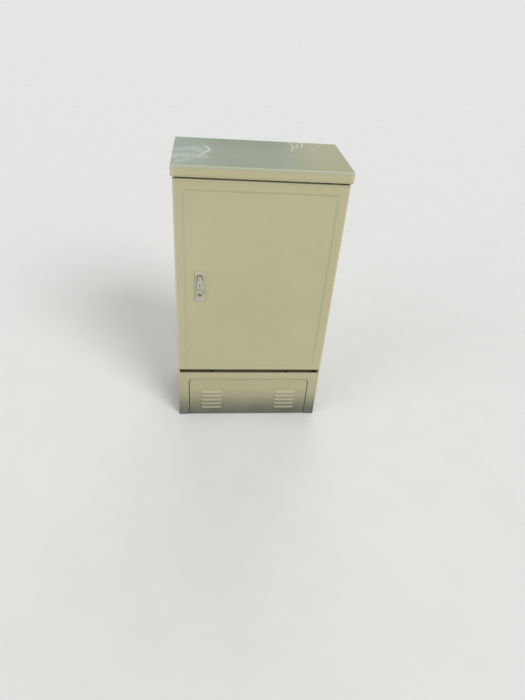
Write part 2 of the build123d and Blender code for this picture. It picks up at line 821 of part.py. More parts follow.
def lever_handle():
    """Flat lever: round head over the hub's lug, round at the end that holds the key cylinder."""
    pin_z = hub_height + lever_pin_above
    key_z = hub_height - key_drop
    x0, x1 = lock_x - lever_width, lock_x + lever_width
    lever = slab(lever_outline(), lever_front, lever_back)
    lever = fillet(lever.faces().sort_by(Axis.Y)[0].edges(), lever_round)
    profile = block(x0, x1, lever_front, lever_back, key_z - lever_width, pin_z)
    profile += crosswise(lever_middle, pin_z, x0, x1, lever_thickness / 2)
    lever &= profile
    lug = lug_width / 2 + lug_play
    r = lug_radius + lug_play
    lever -= crosswise(lever_middle, pin_z, lock_x - lug, lock_x + lug, r)
    lever -= block(lock_x - lug, lock_x + lug, lever_middle, lever_back + cut, pin_z - r, pin_z)
    swept = lug_radius * sin(lever_lift) + lug_play
    lever -= block(lock_x - lug, lock_x + lug, lever_middle - swept, lever_back + cut, pin_z, pin_z + cut)
    lever -= lever_pin_bore()
    lever -= through(lock_x, key_z, lever_front - cut, lever_back + cut, key_radius + run)
    room = tongue_width / 2 + tongue_play
    reach = tongue_reach + tongue_lead
    pocket = through(lock_x, key_z, lever_back - tongue_thickness - tongue_play, lever_back + cut, reach)
    pocket &= block(lock_x - room, lock_x + reach, lever_front - cut, lever_back + 2 * cut,
                    key_z - room, key_z + reach)
    lever -= pocket
    for drop, wide, tall in dimples:
        oval = Pos(lock_x, hub_height - drop) * Ellipse(wide / 2, tall / 2)
        lever -= slab(oval, lever_front - bite, lever_front + dimple_depth)
    return lever


def handle_pin():
    """Cross pin of the lever."""
    w = lever_pin_half
    return crosswise(lever_middle, hub_height + lever_pin_above, lock_x - w, lock_x + w, lever_pin_radius)


def key_cylinder():
    """Key plug with its locking tongue, drawn in."""
    key_z = hub_height - key_drop
    tongue_back = lever_back - tongue_lead
    plug = through(lock_x, key_z, lever_front - key_proud, tongue_back, key_radius)
    plug += block(lock_x - tongue_width / 2, lock_x + tongue_width / 2, tongue_back - tongue_thickness,
                  tongue_back, key_z, key_z + tongue_reach - tongue_lead)
    wide, tall, deep = key_slot
    start = lever_front - key_proud
    return plug - block(lock_x - wide / 2, lock_x + wide / 2, start - bite, start + deep,
                        key_z - tall / 2, key_z + tall / 2)


def gear_angle(radius):
    """Half the angle of a pinion tooth at a radius."""
    base = pitch_radius * cos(pressure_angle)
    here = acos(min(1.0, base / radius))
    flank = tan(pressure_angle) - pressure_angle - (tan(here) - here)
    return pi / (2 * gear_teeth) + flank - gear_backlash / (2 * pitch_radius)


def lock_pinion():
    """Involute pinion on the square spindle."""
    base = pitch_radius * cos(pressure_angle)
    steps = 5
    radii = [base + (gear_tip - base) * i / steps for i in range(steps + 1)]
    points = []
    for tooth in range(gear_teeth):
        middle = 2 * pi * tooth / gear_teeth
        rising = [(gear_root, middle - gear_angle(base))]
        rising += [(r, middle - gear_angle(r)) for r in radii]
        falling = [(r, 2 * middle - a) for r, a in reversed(rising)]
        points += [(r * cos(a), r * sin(a)) for r, a in rising + falling]
    outline = make_face(Polyline(*points, close=True))
    gear = slab(Pos(lock_x, hub_height) * outline, gear_setback, gear_setback + gear_width)
    s = spindle_size / 2 + run
    return gear - block(lock_x - s, lock_x + s, 0, gear_setback + gear_width + cut,
                        hub_height - s, hub_height + s)


def lock_rod(side, low_tooth, high_tooth, z0, z1):
    """Flat rod with rack teeth towards the pinion; heights are measured from the hub."""
    pitch = pi * gear_module
    thick = pitch / 4 - gear_backlash / 2
    root = thick + (rack_root - pitch_radius) * tan(pressure_angle)
    tip = thick - rack_addendum * tan(pressure_angle)
    near = pitch_radius - rack_addendum
    rod = window(rod_width / 2, z0, z1)
    rod = Pos(side * rod_middle, 0) * rod
    for k in range(low_tooth, high_tooth + 1):
        z = (k + 0.5) * pitch
        inner = side * (rack_root + tooth_bite)
        points = [(inner, z - root), (side * rack_root, z - root), (side * near, z - tip),
                  (side * near, z + tip), (side * rack_root, z + root), (inner, z + root)]
        rod += make_face(Polyline(*points, close=True))
    return slab(Pos(lock_x, hub_height) * rod, gear_setback, gear_setback + gear_width)


def lock_rods():
    """Upper rod on the left of the pinion and lower rod on the right."""
    upper = lock_rod(-1, -5, 1, -rod_end, door_top + upper_rod_reach - hub_height)
    lower = lock_rod(1, -2, 4, door_bottom - lower_rod_reach - hub_height, rod_end)
    return upper, lower


def lock_case():
    """Case behind the plate that guides the racks and bears the spindle."""
    w = case_half_width
    h = case_half_height
    box = block(lock_x - w - sheet, lock_x + w + sheet, case_front, case_back,
                hub_height - h - sheet, hub_height + h + sheet)
    box -= block(lock_x - w, lock_x + w, case_front, case_back - sheet, hub_height - h, hub_height + h)
    box += through(lock_x, hub_height, case_back - sheet, latch_setback - seat, case_boss_radius)
    box -= through(lock_x, hub_height, case_front, latch_setback, spindle_size / sqrt(2) + run)
    slot_end = rod_width / 2 + seat
    for side, z in ((-1, hub_height + h), (1, hub_height - h)):
        x = lock_x + side * rod_middle
        near = side * (rod_middle - (pitch_radius - rack_addendum) + seat)
        a, b = sorted((x - near, x + side * slot_end))
        box -= block(a, b, gear_setback - seat, gear_setback + gear_width + seat, z - cut, z + cut)
    return box


def rod_guides():
    """Four blocks on the door that the rods slide in."""
    wide, tall, deep = guide_size
    blocks = []
    for side, heights in ((-1, guide_heights_upper), (1, guide_heights_lower)):
        x = lock_x + side * rod_middle
        for z in heights:
            guide = block(x - wide / 2, x + wide / 2, case_front, case_front + deep,
                          z - tall / 2, z + tall / 2)
            blocks.append(guide - rod_slot(side, z - tall, z + tall, seat))
    return blocks


def latch_cam():
    """Flat cam on the spindle: it points down, and turns behind the front frame."""
    cam = Rectangle(latch_width, latch_length, align=(Align.CENTER, Align.MAX)) + Circle(latch_width / 2)
    end = cam.vertices().group_by(Axis.Y)[0]
    cam = fillet(end, latch_corner)
    cam = slab(Pos(lock_x, hub_height) * cam, latch_setback, latch_setback + latch_thickness)
    s = spindle_size / 2 + run
    return cam - block(lock_x - s, lock_x + s, 0, latch_setback + latch_thickness + cut,
                       hub_height - s, hub_height + s)


def cam_nut():
    """Hexagon nut that holds the cam on the spindle."""
    start = latch_setback + latch_thickness + touch
    end = start + nut_thickness
    nut = slab(Pos(lock_x, hub_height) * RegularPolygon(nut_radius, 6), start, end)
    return nut - through(lock_x, hub_height, start - bite, end + bite, stub_radius + run)


def lock_screws():
    """Two screws from inside the door into the lock plate."""
    radius, height = lock_screw_head
    start = field_back + touch
    screws = []
    for drop in lock_screw_drops:
        z = hub_height - drop
        head = through(lock_x, z, start, start + height, radius)
        shank = through(lock_x, z, plate_face + bite + seat, start + bite, lock_screw_radius)
        screws.append(head + shank)
    return screws


def tray_floor(index):
    """Height of a tray's underside."""
    return tray_lowest + index * tray_pitch


def rack_side(side):
    """Side plate of the tray rack with a ledge under each tray and a flange to the rear wall."""
    outer = rack_left if side < 0 else rack_left + rack_width
    inner = outer - side * sheet
    z0 = tray_lowest - rack_margin
    z1 = tray_floor(tray_count - 1) + tray_height + rack_margin
    a, b = sorted((outer, inner))
    plate = block(a, b, rack_front, back_inside, z0, z1)
    a, b = sorted((outer, outer - side * rack_flange))
    plate += block(a, b, back_inside - sheet, back_inside, z0, z1)
    for index in range(tray_count):
        z = tray_floor(index) - seat
        a, b = sorted((outer, inner - side * ledge_width))
        plate += block(a, b, rack_front + ledge_margin, back_inside - ledge_margin, z - sheet, z)
    return plate


def tray_edges():
    """Left and right side of a tray between the rack's side plates."""
    left = rack_left + sheet + tray_play
    return left, rack_left + rack_width - sheet - tray_play


def adapter_xs():
    """X of each adapter in a tray's front."""
    left, right = tray_edges()
    middle = (left + right) / 2
    return [middle + (i - (adapter_count - 1) / 2) * adapter_pitch for i in range(adapter_count)]


def splice_tray(index):
    """Moulded tray with a pierced front, two fibre rings and a splice comb."""
    left, right = tray_edges()
    z0 = tray_floor(index)
    z1 = z0 + tray_height
    start = tray_setback
    end = start + tray_depth
    t = tray_wall
    tray = block(left, right, start, end, z0, z1)
    tray -= block(left + t, right - t, start + t, end - t, z0 + t, z1)
    middle = (left + right) / 2
    deep = start + tray_depth / 2 + guide_ring_shift
    for side in (-1, 1):
        x = middle + side * guide_ring_spacing / 2
        hub = upright(x, deep, z0 + t - bite, z0 + t + guide_ring_height, guide_ring_radius)
        tray += hub - upright(x, deep, z0, z1, guide_ring_radius - t)
    wide, long, tall = comb_size
    comb = block(middle - wide / 2, middle + wide / 2, deep - long / 2, deep + long / 2,
                 z0 + t - bite, z0 + t + tall)
    for i in range(comb_slots):
        d = deep + (i - (comb_slots - 1) / 2) * comb_pitch
        comb -= block(middle - wide, middle + wide, d - comb_slot / 2, d + comb_slot / 2, z0 + 2 * t, z1)
    tray += comb
    tab_width, tab_reach = tray_tab
    tray += block(middle - tab_width / 2, middle + tab_width / 2, start - tab_reach, start + bite,
                  z0, z0 + t)
    wide = adapter_size[0] / 2 + adapter_play
    tall = adapter_size[2] / 2 + adapter_play
    z = z0 + tray_height / 2
    for x in adapter_xs():
        tray -= block(x - wide, x + wide, start - bite, start + t + bite, z - tall, z + tall)
    return tray


def tray_cover(index):
    """Clear lid on a tray, with a finger notch in its front edge."""
    left, right = tray_edges()
    z = tray_floor(index) + tray_height + touch
    end = tray_setback + tray_depth
    cover = block(left, right, tray_setback, end, z, z + cover_sheet)
    gap = tray_wall + seat
    inner = gap + rim_wall
    rim = block(left + gap, right - gap, tray_setback + gap, end - gap, z - rim_depth, z + bite)
    rim -= block(left + inner, right - inner, tray_setback + inner, end - inner, z - rim_depth, z + bite)
    cover += rim
    return cover - upright((left + right) / 2, tray_setback, z - rim_depth, z + cover_sheet, finger_radius)


def tray_adapters(index):
    """The through adapters in a tray's front, each with its dust cap on."""
    z = tray_floor(index) + tray_height / 2
    wide, long, tall = adapter_size
    flange_wide, flange_thick, flange_tall = adapter_flange
    nose = tray_setback - adapter_proud
    lip = tray_setback - touch
    pieces = []
    for x in adapter_xs():
        body = block(x - wide / 2, x + wide / 2, nose, nose + long, z - tall / 2, z + tall / 2)
        body += block(x - flange_wide / 2, x + flange_wide / 2, lip - flange_thick, lip,
                      z - flange_tall / 2, z + flange_tall / 2)
        cap_wide = wide / 2 - cap_step
        cap_tall = tall / 2 - cap_step
        body += block(x - cap_wide, x + cap_wide, nose - cap_proud, nose + bite, z - cap_tall, z + cap_tall)
        pieces.append(body)
    return pieces


def storage_panel():
    """Channel panel on the rear wall that carries the spools."""
    x0, x1 = panel_left, panel_left + panel_width
    z0, z1 = panel_bottom, panel_bottom + panel_height
    panel = block(x0, x1, panel_setback, back_inside, z0, z1)
    return panel - block(x0 + sheet, x1 - sheet, panel_setback + sheet, back_inside, z0, z1)


def fibre_spools():
    """Drums that the slack fibre is wound on."""
    x = panel_left + panel_width / 2
    end = panel_setback - touch
    start = end - spool_length
    spools = []
    for height in spool_heights:
        z = panel_bottom + height
        drum = through(x, z, start, end, spool_radius)
        drum += through(x, z, start, start + spool_wall, spool_flange_radius)
        drum += through(x, z, end - spool_wall, end, spool_flange_radius)
        spools.append(drum - through(x, z, start - bite, end - spool_wall, spool_radius - spool_wall))
    return spools


def clamp_rail():
    """Channel across the bay that holds the cable clamps."""
    z0, z1 = clamp_bottom, clamp_bottom + clamp_height
    end = clamp_rail_setback + clamp_rail_flange
    rail = block(-side_inside, side_inside, clamp_rail_setback, end, z0, z1)
    return rail - block(-side_inside + sheet, side_inside - sheet, clamp_rail_setback + sheet, end,
                        z0 + sheet, z1 - sheet)


def cable_clamps():
    """Split clamps above the cable entries, bored for a cable each."""
    clamps = []
    end = clamp_rail_setback - touch
    start = 2 * entry_setback - end
    z0, z1 = clamp_bottom, clamp_bottom + clamp_height
    w = clamp_width / 2
    split = clamp_split / 2
    for x in entry_xs:
        body = block(x - w, x + w, start, end, z0, z1)
        body = fillet(body.edges().filter_by(Axis.Z), clamp_corner)
        body -= upright(x, entry_setback, z0 - cut, z1 + cut, clamp_bore)
        body -= block(x - w, x + w, entry_setback - split, entry_setback + split, z0 + clamp_web, z1)
        clamps.append(body)
    return clamps


def earth_bar():
    """Brass bar with a row of terminal holes."""
    w = earth_bar_length / 2
    z0 = earth_bar_bottom
    end = back_inside - insulator_height - touch
    bar = block(-w, w, end - earth_bar_thickness, end, z0, z0 + earth_bar_height)
    z = z0 + earth_bar_height / 2
    for i in range(earth_hole_count):
        x = (i - (earth_hole_count - 1) / 2) * earth_hole_pitch
        bar -= through(x, z, end - earth_bar_thickness - cut, end + cut, earth_hole_radius)
    return bar


def earth_insulators():
    """Two moulded standoffs between the earth bar and the rear wall."""
    z = earth_bar_bottom + earth_bar_height / 2
    x = earth_bar_length / 2 - insulator_radius - insulator_margin
    return [through(side * x, z, back_inside - insulator_height, back_inside, insulator_radius)
            for side in (-1, 1)]


def as_solids(shape):
    """Every solid of a piece or of a list of pieces."""
    if isinstance(shape, (list, tuple)):
        return [solid for item in shape for solid in as_solids(item)]
    return list(shape.solids())


def build():
    """Every node by name."""
    lower_block, upper_block = hinge_blocks()
    upper_rod, lower_rod = lock_rods()
    nodes = {
        "body_shell": body_shell(),
        "roof_cap": roof_cap(),
        "roof_channels": roof_channels(),
        "roof_bolts": roof_bolts(),
        "top_panel": top_panel(),
        "top_rail": top_rail(),
        "front_frame": front_frame(),
        "plinth_frame": plinth_frame(),
        "plinth_cover": plinth_cover(),
        "cover_bolts": cover_bolts(),
        "base_frame": base_frame(),
        "floor_plate": floor_plate(),
        "cable_grommets": cable_grommets(),
        "door_panel": door_panel(),
        "door_seal": door_seal(),
        "door_stiffeners": door_stiffeners(),
        "document_pocket": document_pocket(),
        "hinge_block_lower": lower_block,
        "hinge_block_upper": upper_block,
        "hinge_pin_lower": hinge_pin_lower(),
        "hinge_pin_upper": hinge_pin_upper(),
        "lock_plate": lock_plate(),
        "lock_hub": lock_hub(),
        "lever_handle": lever_handle(),
        "handle_pin": handle_pin(),
        "key_cylinder": key_cylinder(),
        "lock_pinion": lock_pinion(),
        "upper_lock_rod": upper_rod,
        "lower_lock_rod": lower_rod,
        "lock_case": lock_case(),
        "rod_guides": rod_guides(),
        "latch_cam": latch_cam(),
        "cam_nut": cam_nut(),
        "lock_screws": lock_screws(),
        "rack_side_left": rack_side(-1),
        "rack_side_right": rack_side(1),
        "storage_panel": storage_panel(),
        "fibre_spools": fibre_spools(),
        "clamp_rail": clamp_rail(),
        "cable_clamps": cable_clamps(),
        "earth_bar": earth_bar(),
        "earth_insulators": earth_insulators(),
    }
    for index in range(tray_count):
        nodes[f"splice_tray_{index + 1}"] = splice_tray(index)
        nodes[f"tray_cover_{index + 1}"] = tray_cover(index)
        nodes[f"tray_adapters_{index + 1}"] = tray_adapters(index)
    return nodes


os.makedirs("parts", exist_ok=True)
for name, shape in build().items():
    export_step(Compound(children=as_solids(shape)), f"parts/{name}.step")
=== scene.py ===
import json
from math import cos, radians, sin

import bpy
from mathutils import Matrix, Vector


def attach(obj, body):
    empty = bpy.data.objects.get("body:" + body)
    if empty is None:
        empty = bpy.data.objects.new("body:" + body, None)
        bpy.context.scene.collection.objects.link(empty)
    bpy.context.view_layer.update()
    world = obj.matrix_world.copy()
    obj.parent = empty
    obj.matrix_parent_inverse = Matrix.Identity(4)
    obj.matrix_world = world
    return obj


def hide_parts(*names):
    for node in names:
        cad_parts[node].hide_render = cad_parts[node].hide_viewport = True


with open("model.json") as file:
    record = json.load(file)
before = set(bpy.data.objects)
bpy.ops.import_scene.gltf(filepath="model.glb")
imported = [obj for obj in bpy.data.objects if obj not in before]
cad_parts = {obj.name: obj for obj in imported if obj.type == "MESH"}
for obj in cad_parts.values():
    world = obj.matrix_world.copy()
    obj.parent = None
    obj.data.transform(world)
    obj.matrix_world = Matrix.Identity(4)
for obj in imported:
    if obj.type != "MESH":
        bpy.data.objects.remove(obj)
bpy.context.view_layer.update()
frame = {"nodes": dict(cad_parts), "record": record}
nodes = frame["nodes"]
bodies = frame["record"]["behaviour"]["bodies"]

# Floor-standing fiber optic cabinet, in metres, in the frame of its solids.
# +Z is up, the door faces -Y, and the origin is on the ground under the middle of the body.

# Camera
focal_pixels = 521.2
photo_height = 700
eye = Vector((-0.1775, -1.7858, 1.5329))
yaw = radians(7.71)
pitch = radians(35.95)
roll = radians(-4.93)

# Light and floor: each lamp's direction, strength and spread in degrees
room_strength = 0.45
lamps = {
    "key": ((0.55, -0.75, 0.8), 1.5, 28),
    "fill": ((-0.8, -0.45, 0.5), 0.5, 40),
    "back": ((0.2, 0.9, 0.7), 0.5, 40),
}
floor_half = 30

# Exterior paint, its dirt, and its painted highlights and shade, as sRGB colours
pebble_grey = (182, 177, 141)
paint_light = (187, 182, 147)
paint_dark = (172, 166, 130)
# Worn paint on edges, and the colour of the painted highlights on corners, edges, the door's top edge
# and the louvre blades
worn_and_highlight_paint = (206, 205, 175)
# Settled dust on level faces, kept pale as painted light that lifts the shaded gap under the roof
dust_and_light = (228, 223, 198)
dust_colour = (172, 164, 134)
# Darkening towards the ground: partly dirt, partly painted shade from the ground
ground_dirt_and_shade = (96, 99, 90)
mud_colour = (84, 80, 66)
# Grime, and the painted shade in seams, corners and along the door field's border
grime_and_shade_colour = (66, 62, 48)
# Painted shade on the sill in the gap under the door
sill_shade = (112, 106, 82)

# Roof: weathered grey with a painted sky reflection, painted sunlight, chalk, painted shade, a painted
# edge highlight and pale wipe marks
roof_grey_and_sky = (140, 150, 132)
roof_sunlit = (162, 161, 125)
roof_chalk = (156, 173, 164)
roof_shade = (120, 130, 112)
roof_wear_and_highlight = (180, 196, 178)
pale_smear = (196, 205, 193)

# Paint inside the cabinet
inner_light = (184, 180, 149)
inner_dark = (174, 170, 139)

# Lock; the hub is darker as painted shade in the recess round the lever's head
cast_light = (202, 201, 184)
cast_dark = (176, 175, 158)
hub_shade_light = (152, 151, 131)
hub_shade_dark = (126, 125, 106)
# Darker tone for the lever's small hollows
hollow_darkening = (104, 103, 88)
# Oiled steel, darkened as painted shade for the rods, pins and bolts seen in the door's gaps
oil_shade_light = (92, 90, 74)
oil_shade_dark = (58, 56, 46)
plug_light = (148, 148, 136)
plug_dark = (120, 120, 111)

# Other metals
zinc_dark = (150, 153, 156)
zinc_light = (186, 188, 190)
zinc_stain = (206, 206, 200)
plated_colour = (188, 186, 178)
plated_dark = (166, 162, 150)
plated_edge = (214, 213, 208)
brass_colour = (205, 168, 96)
tarnish_colour = (134, 98, 52)

# Rubber and plastics
rubber_colour = (30, 30, 31)
rubber_bloom = (84, 82, 76)
nylon_colour = (186, 188, 190)
insulator_red = (126, 34, 26)
tray_white = (214, 216, 212)
lid_tint = (196, 212, 222)
adapter_blue = (26, 92, 176)
cap_white = (226, 228, 226)

# Surroundings
floor_colour = (236, 236, 234)
horizon_colour = (230, 230, 228)


def box_of(node):
    """Lowest and highest corner of a node."""
    corners = nodes[node].bound_box
    low = Vector([min(corner[axis] for corner in corners) for axis in range(3)])
    high = Vector([max(corner[axis] for corner in corners) for axis in range(3)])
    return low, high


def solids_of(node):
    """Lowest and highest corner of each separate solid of a node, from left to right."""
    mesh = nodes[node].data
    spots = [tuple(round(part, 6) for part in vertex.co) for vertex in mesh.vertices]
    parent = {spot: spot for spot in spots}

    def root(spot):
        while parent[spot] != spot:
            spot = parent[spot]
        return spot

    for face in mesh.polygons:
        first = root(spots[face.vertices[0]])
        for index in face.vertices[1:]:
            parent[root(spots[index])] = first
    groups = {}
    for spot in parent:
        groups.setdefault(root(spot), []).append(spot)
    lows = [tuple(map(min, zip(*group))) for group in groups.values()]
    highs = [tuple(map(max, zip(*group))) for group in groups.values()]
    return [(Vector(low), Vector(high)) for low, high in sorted(zip(lows, highs))]


def shares(low, high, count, margin=0.0):
    """Evenly spaced places between two limits, the first and last a margin inside them."""
    step = (high - low - 2 * margin) / (count - 1)
    return [low + margin + step * index for index in range(count)]


# Places on the solids that marks in the paint follow
body_half = box_of("body_shell")[1].x
door_face = box_of("body_shell")[0].y
door_low, door_high = box_of("door_panel")
plinth_top = box_of("plinth_frame")[1].z
fascia_foot = box_of("roof_cap")[0].z
fascia_upright = 0.032
fascia_top = fascia_foot + fascia_upright
hub_low, hub_high = box_of("lock_hub")
hub = (hub_low + hub_high) / 2

# The door's recessed field: half its width, its foot and head, its corners' radius, and how far
# inside its outline the shaded border lies
field_half = door_high.x - 0.0315
field_heights = (door_low.z + 0.025, door_high.z - 0.033)
field_corner = 0.009
border_inset = 0.0015

# The lever's two hollows: how far below the hub, and half their width and height
lever_hollows = ((0.028, 0.0028, 0.0048), (0.047, 0.0038, 0.0024))
hollows = [(hub.x, hub.z - below, wide, high) for below, wide, high in lever_hollows]

# Fades of the marks, each as the place where it is nothing and the place where it is full
flank_fade = (body_half - 0.008, body_half - 0.003)      # painted highlight down the front corners
crest_fade = (door_high.z - 0.006, door_high.z - 0.003)  # painted highlight on the door's top edge
sheet_fade = (door_face + 0.008, door_face + 0.006)      # the door's front sheet, not its inside
border_fade = (0.0038, 0.001)                            # from the middle of the field's border
ground_dark_fade = (0.155, 0.0)                               # darker towards the ground: dirt and painted shade
haze_fade = (0.24, 0.17)                                 # thin darkening above that, dirt and painted shade
drops_fade = (0.4, 0.1)                                  # dried drops
louvre_fade = (0.205, 0.2)                               # sloped blades of the louvres, painted lighter as a highlight
seam_fade = (0.95, 0.9)                                  # painted shade and grime in seams, none under the roof
sill_fade = (plinth_top - 0.002, plinth_top - 0.001)     # upper edge of the sill, in painted shade
run_off_fade = (fascia_top - 0.011, fascia_top - 0.003)  # chalk washed down from the roof
hem_middle = fascia_foot + 0.0045
hem_fade = (0.0035, 0.001)                               # from the middle of the fascia's hem line
sunlit_fade = (0.02, 0.22)                                 # painted sunlight on the roof's right end
chalk_fade = (-0.1, -0.27)                               # chalked left end of the roof
rear_fade = (-0.02, 0.14)                                # painted shade on the roof's rear
rear_left_fade = (0.2, 0.05)                             # that rear, without its right end

# Along the roof's wipe marks: their places, half their width and how strong they are
roof_marks = (
    (((-0.285, 0.0), (-0.22, 0.03), (-0.2, 0.0)), 0.032, 0.45),
    (((-0.285, -0.07), (-0.235, -0.055), (-0.2, -0.062)), 0.04, 0.5),
    (((-0.275, -0.13), (-0.225, -0.09)), 0.02, 0.4),
    (((-0.204, -0.064), (-0.184, -0.015), (-0.172, 0.0)), 0.011, 0.9),
    (((-0.172, 0.0), (-0.17, 0.028), (-0.178, 0.05), (-0.188, 0.054)), 0.009, 0.95),
    (((0.114, 0.156), (0.121, 0.13), (0.123, 0.092), (0.113, 0.047)), 0.006, 0.75),
    (((0.142, 0.128), (0.131, 0.074)), 0.006, 0.8),
    (((0.156, 0.15), (0.162, 0.143), (0.155, 0.103)), 0.006, 0.85),
    (((0.162, 0.05), (0.192, 0.079), (0.226, 0.129)), 0.005, 0.45),
    (((0.209, 0.119), (0.229, 0.149)), 0.004, 0.4),
)


def linear(colour, alpha=1.0):
    """An sRGB colour of 0 to 255 as a linear shader colour."""
    parts = []
    for part in colour:
        share = part / 255
        parts.append(share / 12.92 if share <= 0.04045 else ((share + 0.055) / 1.055) ** 2.4)
    return (*parts, alpha)


class Wire:
    """A node's socket that is reckoned with like a number."""

    def __init__(self, graph, socket):
        self.graph = graph
        self.socket = socket

    def math(self, operation, *values):
        """Any Math node."""
        return self.graph.node("ShaderNodeMath", {"operation": operation}, dict(enumerate(values)))

    def __add__(self, other):
        return self.math("ADD", self, other)

    def __radd__(self, other):
        return self.math("ADD", other, self)

    def __sub__(self, other):
        return self.math("SUBTRACT", self, other)

    def __rsub__(self, other):
        return self.math("SUBTRACT", other, self)

    def __mul__(self, other):
        return self.math("MULTIPLY", self, other)

    def __truediv__(self, other):
        return self.math("DIVIDE", self, other)

    def __pow__(self, other):
        return self.math("POWER", self, other)

    def size(self):
        """The value without its sign."""
        return self.math("ABSOLUTE", self)

    def either(self, other):
        """The larger of two values."""
        return self.math("MAXIMUM", self, other)

    def both(self, other):
        """The smaller of two values."""
        return self.math("MINIMUM", self, other)

    def between(self, low, high):
        """0 up to low, 1 from high and smooth in between; low may be the larger."""
        flip = low > high
        low, high = sorted((low, high))
        values = {0: self, 1: low, 2: high, 3: 1.0 if flip else 0.0, 4: 0.0 if flip else 1.0}
        return self.graph.node("ShaderNodeMapRange", {"interpolation_type": "SMOOTHSTEP"}, values)


class Graph:
    """An emptied node tree with one method that adds any node to it."""

    def __init__(self, tree):
        self.tree = tree
        self.tree.nodes.clear()

    def set(self, socket, value):
        """Links a wire to a socket, or writes a plain value into it."""
        if isinstance(value, Wire):
            self.tree.links.new(value.socket, socket)
        else:
            socket.default_value = value

    def node(self, kind, settings=None, values=None, output=0):
        """Any node: its settings are set first, then the values or links of its sockets."""
        made = self.tree.nodes.new(kind)
        for name, setting in (settings or {}).items():
            setattr(made, name, setting)
        for key, value in (values or {}).items():
            for one in value if isinstance(value, list) else [value]:
                self.set(made.inputs[key], one)
        return Wire(self, made.outputs[output])


class Finish(Graph):
    """A procedural material whose patterns lie on the object's own coordinates."""

    def __init__(self, name):
        self.material = bpy.data.materials.new(name)
        self.material.use_nodes = True
        super().__init__(self.material.node_tree)
        self.surface = self.tree.nodes.new("ShaderNodeBsdfPrincipled")
        output = self.tree.nodes.new("ShaderNodeOutputMaterial")
        self.tree.links.new(self.surface.outputs[0], output.inputs[0])
        self.place = self.node("ShaderNodeTexCoord", output="Object")
        self.x, self.y, self.z = (self.part_of(self.place, axis) for axis in range(3))

    def part_of(self, vector, axis):
        """X, Y or Z of a vector."""
        return self.node("ShaderNodeSeparateXYZ", {}, {0: vector}, axis)

    def stretched(self, across, along, up, turn=0.0):
        """The object's coordinates, scaled along each axis and turned about Y."""
        values = {0: self.place, 2: (0, turn, 0), 3: (across, along, up)}
        return self.node("ShaderNodeMapping", {}, values)

    def noise(self, scale, detail=2.0, rough=0.5, place=None, warp=0.0):
        """Cloudy noise, as many waves a metre as its scale says."""
        values = {"Vector": place or self.place, "Scale": scale, "Detail": detail, "Roughness": rough,
                  "Distortion": warp}
        return self.node("ShaderNodeTexNoise", {}, values)

    def cells(self, scale, output="Distance", place=None):
        """Scattered cells: how far their middle is, or a colour of their own."""
        values = {"Vector": place or self.place, "Scale": scale}
        return self.node("ShaderNodeTexVoronoi", {}, values, output)

    def blend(self, factor, under, over):
        """One linear colour over another."""
        return self.node("ShaderNodeMix", {"data_type": "RGBA"}, {0: factor, 6: under, 7: over}, 2)

    def over(self, under, colour, factor):
        """An sRGB colour laid over what is there."""
        return self.blend(factor, under, linear(colour))

    def facing(self, axis):
        """How far the surface faces along an axis, from -1 to 1."""
        return self.part_of(self.node("ShaderNodeNewGeometry", output="Normal"), axis)

    def crevice(self, distance):
        """1 deep in a seam or corner, 0 in the open."""
        values = {"Distance": distance}
        return 1 - self.node("ShaderNodeAmbientOcclusion", {"samples": 6}, values, "AO")

    def relief(self, height, depth, strength=1.0, under=None):
        """A bump of the given depth in metres."""
        values = {"Strength": strength, "Distance": depth, "Height": height}
        if under is not None:
            values["Normal"] = under
        return self.node("ShaderNodeBump", {}, values)

    def soft_edges(self, radius):
        """A normal that rounds the sharp edges."""
        return self.node("ShaderNodeBevel", {"samples": 4}, {"Radius": radius})

    def wear(self, softened):
        """1 on an outer or inner edge, from the rounded normal."""
        flat = self.node("ShaderNodeNewGeometry", output="Normal")
        settings = {"operation": "DOT_PRODUCT"}
        turn = self.node("ShaderNodeVectorMath", settings, {0: softened, 1: flat}, "Value")
        return (1 - turn).between(0.01, 0.12)

    def done(self, **sockets):
        """Sets the surface's sockets by name, with _ for a space."""
        for name, value in sockets.items():
            self.set(self.surface.inputs[name.replace("_", " ")], value)
        return self.material


